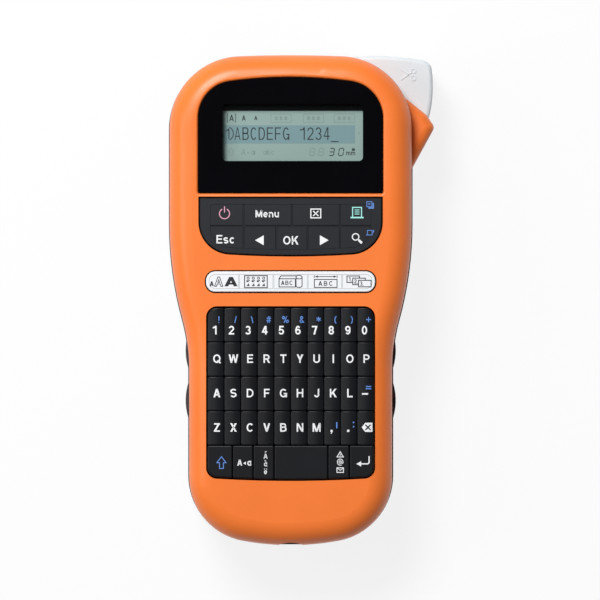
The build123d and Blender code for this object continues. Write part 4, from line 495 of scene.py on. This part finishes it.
def divide(ink):
    """Cut print into pieces small enough to follow a domed surface."""
    bmesh.ops.triangulate(ink, faces=list(ink.faces))
    while longest := [edge for edge in ink.edges if edge.calc_length() > INK_EDGE]:
        bmesh.ops.subdivide_edges(ink, edges=longest, cuts=1)
        bmesh.ops.triangulate(ink, faces=[face for face in ink.faces if len(face.verts) > 3])


def lay(ink, name, node, body, material, lift=0.0, proud=INK_PROUD, domed=False):
    """Turn gathered print into a thin solid that follows a node's upper surface, riding on a body."""
    bmesh.ops.remove_doubles(ink, verts=ink.verts, dist=WELD)
    if domed:
        divide(ink)
    bmesh.ops.recalc_face_normals(ink, faces=ink.faces)
    for face in ink.faces:
        if face.normal.z < 0:
            face.normal_flip()
    raised = bmesh.ops.extrude_face_region(ink, geom=list(ink.faces))
    top = {item for item in raised["geom"] if isinstance(item, bmesh.types.BMVert)}
    for vertex in ink.verts:
        x, y = vertex.co.x * MM, vertex.co.y * MM
        base = surface_height(node, x, y)
        vertex.co = (x, y, base + lift + (proud if vertex in top else -INK_SINK))
    bmesh.ops.recalc_face_normals(ink, faces=ink.faces)
    mesh = bpy.data.meshes.new(name)
    ink.to_mesh(mesh)
    ink.free()
    mesh.materials.append(material)
    piece = bpy.data.objects.new(name, mesh)
    bpy.context.scene.collection.objects.link(piece)
    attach(piece, body)


def legend(ink, key, material, domed=False):
    """Lay print on a key, or on a row of keys, that carries it along."""
    lay(ink, key.replace("key", "legend"), key, key, material, domed=domed)


def centre_of(node):
    low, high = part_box(node)
    return ((low.x + high.x) / 2 / MM, (low.y + high.y) / 2 / MM)


def shifted(point, shift):
    return (point[0] + shift[0], point[1] + shift[1])


# Letter keys

def row_places(row):
    """The middle of each of a row's ten keys."""
    low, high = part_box(row)
    pitch = ((high.x - low.x) / MM + KEY_GAP) / COLUMNS
    first = low.x / MM - KEY_GAP / 2 + pitch / 2
    middle = (low.y + high.y) / 2 / MM
    return [(first + column * pitch, middle) for column in range(COLUMNS)]


def row_legends():
    for row, letters in ROW_LEGENDS.items():
        white = new_print()
        blue = new_print()
        places = row_places(row)
        shift, height = (DIGIT_SHIFT, DIGIT_HEIGHT) if row == "number_keys" else (LETTER_SHIFT, LETTER_HEIGHT)
        for letter, place in zip(letters, places):
            lettering(white, letter, shifted(place, shift), height, KEY_WEIGHT, KEY_STRETCH)
        if row == "number_keys":
            for sign, place in zip(NUMBER_MARKS, places):
                lettering(blue, sign, shifted(place, MARK_SHIFT), MARK_HEIGHT, MARK_WEIGHT)
        elif row == "home_letter_keys":
            block(white, shifted(places[-1], (-0.15, -0.1)), 2.5, 0.65)
            for step in (-0.45, 0.45):
                block(blue, shifted(places[-1], (1.3, 2.5 + step)), 2.3, 0.45)
        elif row == "lower_letter_keys":
            comma, stop, erase = places[-3:]
            lettering(white, ",", shifted(comma, (-0.25, 0.15)), LETTER_HEIGHT, COMMA_WEIGHT)
            block(blue, shifted(comma, (1.9, 1.2)), 0.5, 2.6)
            block(white, shifted(stop, (-0.25, -1.15)), 0.9, 0.9)
            for step in (-0.9, 0.9):
                block(blue, shifted(stop, (1.95, 1.45 + step)), 0.6, 0.6)
            erase_sign(white, shifted(erase, (0.7, 0.3)))
        legend(white, row, WHITE_INK, domed=True)
        if blue.faces:
            lay(blue, row.replace("keys", "marks"), row, row, BLUE_INK, domed=True)


def erase_sign(white, centre):
    """A tag that points left, with a dark cross on it."""
    x, y = centre
    polygon(white, [(x - 2.25, y), (x - 0.75, y + 1.9), (x + 2.2, y + 1.9), (x + 2.2, y - 1.9),
                    (x - 0.75, y - 1.9)])
    cross = new_print()
    for way in (-1, 1):
        stroke(cross, [(x - 0.75, y - 1.1 * way), (x + 1.45, y + 1.1 * way)], 0.55)
    lay(cross, "erase_cross", "lower_letter_keys", "lower_letter_keys", DARK_INK, lift=LAYER_STEP, domed=True)


def wide_legends():
    shift = new_print()
    x, y = shifted(centre_of("shift_key"), (0.6, -0.6))
    stroke(shift, [(x, y + 2.7), (x + 1.9, y + 0.2), (x + 0.8, y + 0.2), (x + 0.8, y - 2.2),
                   (x - 0.8, y - 2.2), (x - 0.8, y + 0.2), (x - 1.9, y + 0.2)], 0.32, closed=True)
    legend(shift, "shift_key", BLUE_INK)

    caps = new_print()
    x, y = shifted(centre_of("caps_key"), (0.65, -0.1))
    for letter, offset in (("A", -1.95), ("a", 2.0)):
        lettering(caps, letter, (x + offset, y), 2.75, 0.17)
    polygon(caps, [(x - 0.5, y - 0.35), (x + 0.6, y - 1.05), (x + 0.6, y + 0.35)])
    legend(caps, "caps_key", WHITE_INK)

    accent = new_print()
    x, y = shifted(centre_of("accent_key"), (0.8, 0.0))
    for letter, rise in (("A", 2.65), ("a", -0.55), ("e", -3.8)):
        lettering(accent, letter, (x, y + rise), 2.2, 0.15)
    stroke(accent, [(x - 0.25, y + 4.1), (x + 0.35, y + 4.65)], 0.3)
    stroke(accent, [(x + 0.2, y + 0.35), (x - 0.4, y + 0.9)], 0.3)
    for side in (-1, 1):
        block(accent, (x + 0.42 * side, y - 2.75), 0.34, 0.34)
    legend(accent, "accent_key", WHITE_INK)

    symbol = new_print()
    x, y = shifted(centre_of("symbol_key"), (0.6, 0.0))
    stroke(symbol, [(x - 1.3, y + 2.15), (x + 1.3, y + 2.15), (x, y + 4.35)], 0.32, closed=True)
    block(symbol, (x, y + 3.05), 0.3, 0.7)
    block(symbol, (x, y + 2.52), 0.3, 0.18)
    lettering(symbol, "@", (x, y + 0.15), 2.6, 0.115)
    outline(symbol, (x, y - 3.3), 2.7, 1.9, 0.32)
    stroke(symbol, [(x - 1.2, y - 2.5), (x, y - 3.4), (x + 1.2, y - 2.5)], 0.28)
    legend(symbol, "symbol_key", WHITE_INK)

    enter = new_print()
    x, y = shifted(centre_of("enter_key"), (0.7, -0.3))
    bend = arc((x + 1.6, y + 0.2), 0.8, 0, -90, 6)
    stroke(enter, [(x + 2.4, y + 2.6)] + bend + [(x - 0.9, y - 0.6)], 0.5)
    polygon(enter, [(x - 2.9, y - 0.6), (x - 0.9, y - 1.7), (x - 0.9, y + 0.5)])
    legend(enter, "enter_key", WHITE_INK)


# Function keys

def function_legends():
    for key, (word, height, shift) in WORDS.items():
        ink = new_print()
        lettering(ink, word, shifted(centre_of(key), shift), height, WORD_WEIGHT, WORD_STRETCH)
        legend(ink, key, WHITE_INK)

    for key, way in (("left_key", -1), ("right_key", 1)):
        ink = new_print()
        x, y = shifted(centre_of(key), (0.2 * way, -0.95))
        polygon(ink, [(x + 1.8 * way, y), (x - 1.8 * way, y + 2.05), (x - 1.8 * way, y - 2.05)])
        legend(ink, key, WHITE_INK)

    power = new_print()
    line = 0.38
    x, y = shifted(centre_of("power_key"), (-0.85, 0.75))
    stroke(power, arc((x, y - 0.3), 2.1, 118, 422, 30), line)
    stroke(power, [(x, y + 0.2), (x, y + 2.75)], line)
    legend(power, "power_key", PINK_INK)

    clear = new_print()
    line = 0.44
    x, y = shifted(centre_of("clear_key"), (-0.05, 0.55))
    outline(clear, (x, y), 4.1, 3.65, line)
    for way in (-1, 1):
        stroke(clear, [(x - 1.1, y - 1.05 * way), (x + 1.1, y + 1.05 * way)], line)
    legend(clear, "clear_key", WHITE_INK)

    sheet = new_print()
    x, y = shifted(centre_of("print_key"), (0.5, 0.55))
    stroke(sheet, [(x - 1.85, y - 1.4), (x - 1.85, y + 2.5), (x + 1.85, y + 2.5), (x + 1.85, y - 1.4)], 0.42)
    block(sheet, (x, y - 1.7), 5.4, 0.6)
    for rise in (1.45, 0.6, -0.25):
        block(sheet, (x, y + rise), 2.0, 0.34)
    legend(sheet, "print_key", MINT_INK)

    glass = new_print()
    x, y = shifted(centre_of("preview_key"), (0.4, -0.3))
    ring(glass, (x - 0.5, y + 0.5), 1.35, 0.44)
    stroke(glass, [(x + 0.45, y - 0.45), (x + 0.9, y - 0.9)], 0.55)
    stroke(glass, [(x + 0.85, y - 0.85), (x + 2.1, y - 2.1)], 0.95)
    legend(glass, "preview_key", WHITE_INK)

    # Small signs on the panel's rim: copies, and feed and cut
    signs = new_print()
    line = 0.26
    x, y = shifted(centre_of("print_key"), (6.0, 4.0))
    outline(signs, (x - 0.4, y + 0.4), 2.1, 2.1, line)
    for rise in (0.7, 0.15):
        block(signs, (x - 0.4, y + rise), 1.0, 0.2)
    stroke(signs, [(x - 0.8, y - 1.2), (x + 1.2, y - 1.2), (x + 1.2, y + 0.9)], 0.5)
    x, y = shifted(centre_of("preview_key"), (6.0, 1.95))
    outline(signs, (x - 0.2, y), 1.9, 1.9, line)
    stroke(signs, [(x - 1.15, y - 0.95), (x - 1.8, y - 0.95)], line)
    block(signs, (x + 1.35, y + 0.7), 0.42, 0.75)
    block(signs, (x + 1.2, y + 0.05), 0.3, 0.4)
    lay(signs, "panel_signs", "function_panel", "body", BLUE_INK)


# Template keys

def template_legends():
    font = new_print()
    x, y = shifted(centre_of("font_key"), (-0.35, 0.0))
    base = y - 1.95
    lettering(font, "A", (x - 4.7, base + 1.05), 2.1, 0.2, 1.15)
    lettering(font, "A", (x + 3.3, base + 1.95), 3.9, 0.19, 1.9)
    stroke(font, [(x - 3.5, base), (x - 2.15, base + 3.9), (x - 1.45, base + 3.9), (x - 0.1, base),
                  (x - 0.9, base), (x - 1.2, base + 1.0), (x - 2.4, base + 1.0), (x - 2.7, base)],
           0.32, closed=True)
    stroke(font, [(x - 2.15, base + 1.6), (x - 1.45, base + 1.6), (x - 1.8, base + 2.75)], 0.3, closed=True)
    legend(font, "font_key", DARK_INK)

    grid = new_print()
    x, y = shifted(centre_of("frame_key"), (-0.15, 0.0))
    outline(grid, (x, y), 9.4, 5.0, 0.42)
    for column in range(4):
        left = x + (column - 1.5) * 2.15
        ring(grid, (left, y + 1.45), 0.45, 0.32)
        block(grid, (left - 0.25, y + 0.2), 0.9, 0.8)
        block(grid, (left + 0.45, y + 0.45), 0.4, 0.5)
        polygon(grid, [(left - 0.75, y - 1.85), (left + 0.6, y - 1.85), (left + 0.3, y - 0.6)])
    legend(grid, "frame_key", GREY_INK)

    wrap = new_print()
    line = 0.36
    x, y = shifted(centre_of("wrap_key"), (-0.1, 0.0))
    stroke(wrap, [(x + 2.1, y + 1.2), (x - 4.7, y + 1.2), (x - 4.7, y - 2.2), (x + 2.1, y - 2.2),
                  (x + 2.1, y + 1.0)], line)
    stroke(wrap, [(x - 4.7, y + 1.3), (x - 3.9, y + 2.4), (x + 2.6, y + 2.4)], line)
    stroke(wrap, oval((x + 3.6, y + 1.9), 1.25, 0.75), 0.34, closed=True)
    under = oval((x + 3.6, y - 1.75), 1.25, 0.65, 180, 360, 10)
    stroke(wrap, [(x + 2.35, y + 1.8)] + under + [(x + 4.85, y + 1.8)], line)
    lettering(wrap, "ABC", (x - 1.4, y - 0.5), 1.8, 0.17, 1.1, 0.16)
    legend(wrap, "wrap_key", DARK_INK)

    span = new_print()
    line = 0.3
    x, y = shifted(centre_of("length_key"), (0.3, 0.0))
    outline(span, (x, y - 0.75), 9.4, 3.3, 0.36)
    stroke(span, [(x - 3.6, y + 2.1), (x + 3.6, y + 2.1)], line)
    for side in (-1, 1):
        polygon(span, [(x + 4.5 * side, y + 2.1), (x + 3.3 * side, y + 2.6), (x + 3.3 * side, y + 1.6)])
        stroke(span, [(x + 4.75 * side, y + 1.5), (x + 4.75 * side, y + 2.7)], line)
    lettering(span, "ABC", (x, y - 0.75), 1.9, 0.17, 1.15, 0.28)
    legend(span, "length_key", DARK_INK)

    serial = new_print()
    line = 0.38
    wide, high = 5.2, 2.7
    x, y = shifted(centre_of("serial_key"), (0.6, 0.0))
    for place, number in enumerate("123"):
        left = x - 4.9 + 2.4 * place
        top = y + 2.35 - 0.9 * place
        right = left + wide
        low = top - high
        if place == 2:
            outline(serial, (left + wide / 2, top - high / 2), wide, high, line)
        else:
            stroke(serial, [(left + 2.3, low), (left, low), (left, top), (right, top), (right, top - 0.75)],
                   line)
        lettering(serial, number, (left + 1.1, top - high / 2), 1.75, 0.17)
        block(serial, (left + 1.9, top - 2.1), 0.3, 0.3)
    legend(serial, "serial_key", DARK_INK)


# Display

SEGMENTS = {"top": ((0, 2), (1, 2)), "upper_right": ((1, 2), (1, 1)), "lower_right": ((1, 1), (1, 0)),
            "bottom": ((0, 0), (1, 0)), "lower_left": ((0, 0), (0, 1)), "upper_left": ((0, 1), (0, 2)),
            "middle": ((0, 1), (1, 1))}
LIT = {"0": ["top", "upper_right", "lower_right", "bottom", "lower_left", "upper_left"],
       "3": ["top", "upper_right", "lower_right", "bottom", "middle"], "8": list(SEGMENTS)}
SEGMENT_WIDE = 1.9
SEGMENT_HIGH = 3.0
SEGMENT_LINE = 0.38
SEGMENT_GAP = 0.16
SEGMENT_SLANT = 0.14


def segment_digit(ink, figure, centre):
    """A digit of seven slanted bars."""
    for name in LIT[figure]:
        (x0, y0), (x1, y1) = SEGMENTS[name]
        start = ((x0 - 0.5) * SEGMENT_WIDE, (y0 - 1) * SEGMENT_HIGH / 2)
        end = ((x1 - 0.5) * SEGMENT_WIDE, (y1 - 1) * SEGMENT_HIGH / 2)
        inset = SEGMENT_GAP / hypot(end[0] - start[0], end[1] - start[1])
        points = [(start[0] + (end[0] - start[0]) * share, start[1] + (end[1] - start[1]) * share)
                  for share in (inset, 1 - inset)]
        stroke(ink, [(centre[0] + px + SEGMENT_SLANT * py, centre[1] + py) for px, py in points], SEGMENT_LINE)


def display():
    x, y = centre_of("display_window")
    low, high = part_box("lcd_panel")
    text_row, lower_row = y - 0.3, y - 7.9

    # Painted shadow: a dark strip in bezel black along the top of the display, where the bezel's upper edge
    # shades it
    painted_shadow = new_print()
    block(painted_shadow, (x, y + PAINTED_SHADOW_RISE), (high.x - low.x) / MM - PAINTED_SHADOW_MARGIN, PAINTED_SHADOW_HIGH)
    lay(painted_shadow, "display_painted_shadow", "lcd_panel", "body", BEZEL, lift=LAYER_STEP)

    band = new_print()
    block(band, shifted((x, y), BAND_SHIFT), *BAND_SIZE)
    lay(band, "display_band", "lcd_panel", "body", BAND)

    # Sizes of type, the first of them in brackets
    dark = new_print()
    row = y + 6.2
    first = x - 25.5
    lettering(dark, "A", (first, row), 2.6, 0.15)
    for side in (-1, 1):
        stroke(dark, [(first + 1.3 * side, row + 1.6), (first + 1.75 * side, row + 1.6),
                      (first + 1.75 * side, row - 1.6), (first + 1.3 * side, row - 1.6)], 0.24)
    for offset, height in ((-20.4, 2.1), (-15.4, 1.7)):
        lettering(dark, "A", (x + offset, row), height, 0.17)

    # Line number, text and cursor
    lettering(dark, "1", (x - 27.1, text_row), 4.4, 0.1, 0.8)
    stroke(dark, arc((x - 27.6, text_row), 2.9, -64, 64, 12), 0.36)
    for place, letter in enumerate(SHOWN_TEXT):
        if letter != " ":
            narrow = min(1.0, CELL_WIDE / alphabet(TEXT_WEIGHT)[letter][0] / CELL_HIGH)
            middle = (x + TEXT_START + CELL_PITCH * place, text_row)
            lettering(dark, letter, middle, CELL_HIGH, TEXT_WEIGHT, narrow)
    block(dark, (x + TEXT_START + CELL_PITCH * len(SHOWN_TEXT), text_row - 3.3), 3.2, 0.42)

    # Length of the label, with a lock over its unit
    for place, figure in enumerate(SHOWN_NUMBER):
        segment_digit(dark, figure, (x + 16.2 + NUMBER_PITCH * place, lower_row))
    lettering(dark, "mm", (x + 24.1, lower_row - 0.4), 2.0, 0.14)
    block(dark, (x + 25.2, lower_row + 0.85), 1.25, 0.8)
    stroke(dark, arc((x + 25.2, lower_row + 1.2), 0.4, 0, 180, 8), 0.24)
    lay(dark, "display_text", "lcd_panel", "body", SEGMENT, lift=LAYER_STEP)

    # Signs that are off and show only faintly
    ghost = new_print()
    row = y + 6.1
    for offset in (-4.9, 8.6, 21.4):
        outline(ghost, (x + offset, row), 8.4, 3.5, 0.26)
        for step in (-2.0, 0.0, 2.0):
            block(ghost, (x + offset + step, row), 1.1, 1.6)
    row = lower_row
    stroke(ghost, [(x - 25.6, row + 1.6), (x - 24.4, row), (x - 25.0, row), (x - 25.0, row - 1.4),
                   (x - 26.2, row - 1.4), (x - 26.2, row), (x - 26.8, row)], 0.22, closed=True)
    for letter, offset in (("A", -20.6), ("a", -16.6)):
        lettering(ghost, letter, (x + offset, row), 2.5, 0.13)
    polygon(ghost, [(x - 19.1, row - 0.3), (x - 18.2, row - 0.9), (x - 18.2, row + 0.3)])
    lettering(ghost, "abc", (x - 10.0, row), 2.4, 0.12)
    for place in (0, 1):
        segment_digit(ghost, "8", (x + 8.1 + GHOST_PITCH * place, row))
    polygon(ghost, [(x + 27.9, y - 0.1), (x + 27.1, y + 0.5), (x + 27.1, y - 0.7)])
    lay(ghost, "display_ghosts", "lcd_panel", "body", GHOST)


# Scissors moulded on the lever

def lever_sign():
    ink = new_print()
    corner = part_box("cutter_lever")[1]
    x, y = corner.x / MM - SIGN_INSET[0], corner.y / MM - SIGN_INSET[1]
    for side in (-1, 1):
        stroke(ink, [(x - 2.7, y - 2.25 * side), (x + 1.75, y + 0.9 * side)], SIGN_LINE)
        ring(ink, (x + 2.6, y + 1.5 * side), 0.95, SIGN_LINE)
    lay(ink, "lever_sign", "cutter_lever", "cutter_lever", WHITE, proud=SIGN_PROUD)


row_legends()
wide_legends()
function_legends()
template_legends()
display()
lever_sign()


# Floor, light and camera

def floor_finish():
    """Pale floor: a matt surface that catches the shadow, nearly white where the camera sees it."""
    material = bpy.data.materials.new("pale_floor")
    material.use_nodes = True
    tree = material.node_tree
    shader = tree.nodes["Principled BSDF"]
    shader.inputs["Base Color"].default_value = FLOOR_COLOUR
    shader.inputs["Roughness"].default_value = FLOOR_ROUGHNESS
    glow = tree.nodes.new("ShaderNodeEmission")
    glow.inputs["Strength"].default_value = 1.0
    path = tree.nodes.new("ShaderNodeLightPath")
    seen = path.outputs["Is Camera Ray"]
    for other in ("Is Glossy Ray", "Is Transmission Ray"):
        both = tree.nodes.new("ShaderNodeMath")
        both.operation = "MAXIMUM"
        tree.links.new(seen, both.inputs[0])
        tree.links.new(path.outputs[other], both.inputs[1])
        seen = both.outputs["Value"]
    share = tree.nodes.new("ShaderNodeMath")
    share.operation = "MULTIPLY"
    share.inputs[1].default_value = FLOOR_GLOW
    tree.links.new(seen, share.inputs[0])
    mix = tree.nodes.new("ShaderNodeMixShader")
    tree.links.new(share.outputs["Value"], mix.inputs["Fac"])
    tree.links.new(shader.outputs["BSDF"], mix.inputs[1])
    tree.links.new(glow.outputs["Emission"], mix.inputs[2])
    tree.links.new(mix.outputs["Shader"], tree.nodes["Material Output"].inputs["Surface"])
    return material


def stage():
    bpy.ops.mesh.primitive_plane_add(size=FLOOR_SIZE, location=(0, 0, -FLOOR_DROP))
    floor = bpy.context.object
    floor.name = "floor"
    floor.data.materials.append(floor_finish())


def lamp(name, place, size, power):
    """A soft box that points at the middle of the object."""
    light = bpy.data.lights.new(name, "AREA")
    light.shape = "DISK"
    light.size = size
    light.energy = power
    holder = bpy.data.objects.new(name, light)
    holder.location = place
    holder.rotation_euler = Vector(place).to_track_quat("Z", "Y").to_euler()
    bpy.context.scene.collection.objects.link(holder)


def lights():
    lamp("key_light", *KEY_LIGHT)
    lamp("fill_light", *FILL_LIGHT)
    world = bpy.data.worlds.new("studio")
    bpy.context.scene.world = world
    world.use_nodes = True
    back = world.node_tree.nodes["Background"]
    back.inputs["Color"].default_value = SKY_COLOUR
    back.inputs["Strength"].default_value = SKY_STRENGTH


def camera():
    lens = bpy.data.cameras.new("camera")
    lens.lens = CAMERA_LENS
    lens.clip_end = CAMERA_REACH
    holder = bpy.data.objects.new("camera", lens)
    holder.location = CAMERA_AT
    bpy.context.scene.collection.objects.link(holder)
    bpy.context.scene.camera = holder


stage()
lights()
camera()
bpy.context.scene.view_settings.view_transform = "Standard"
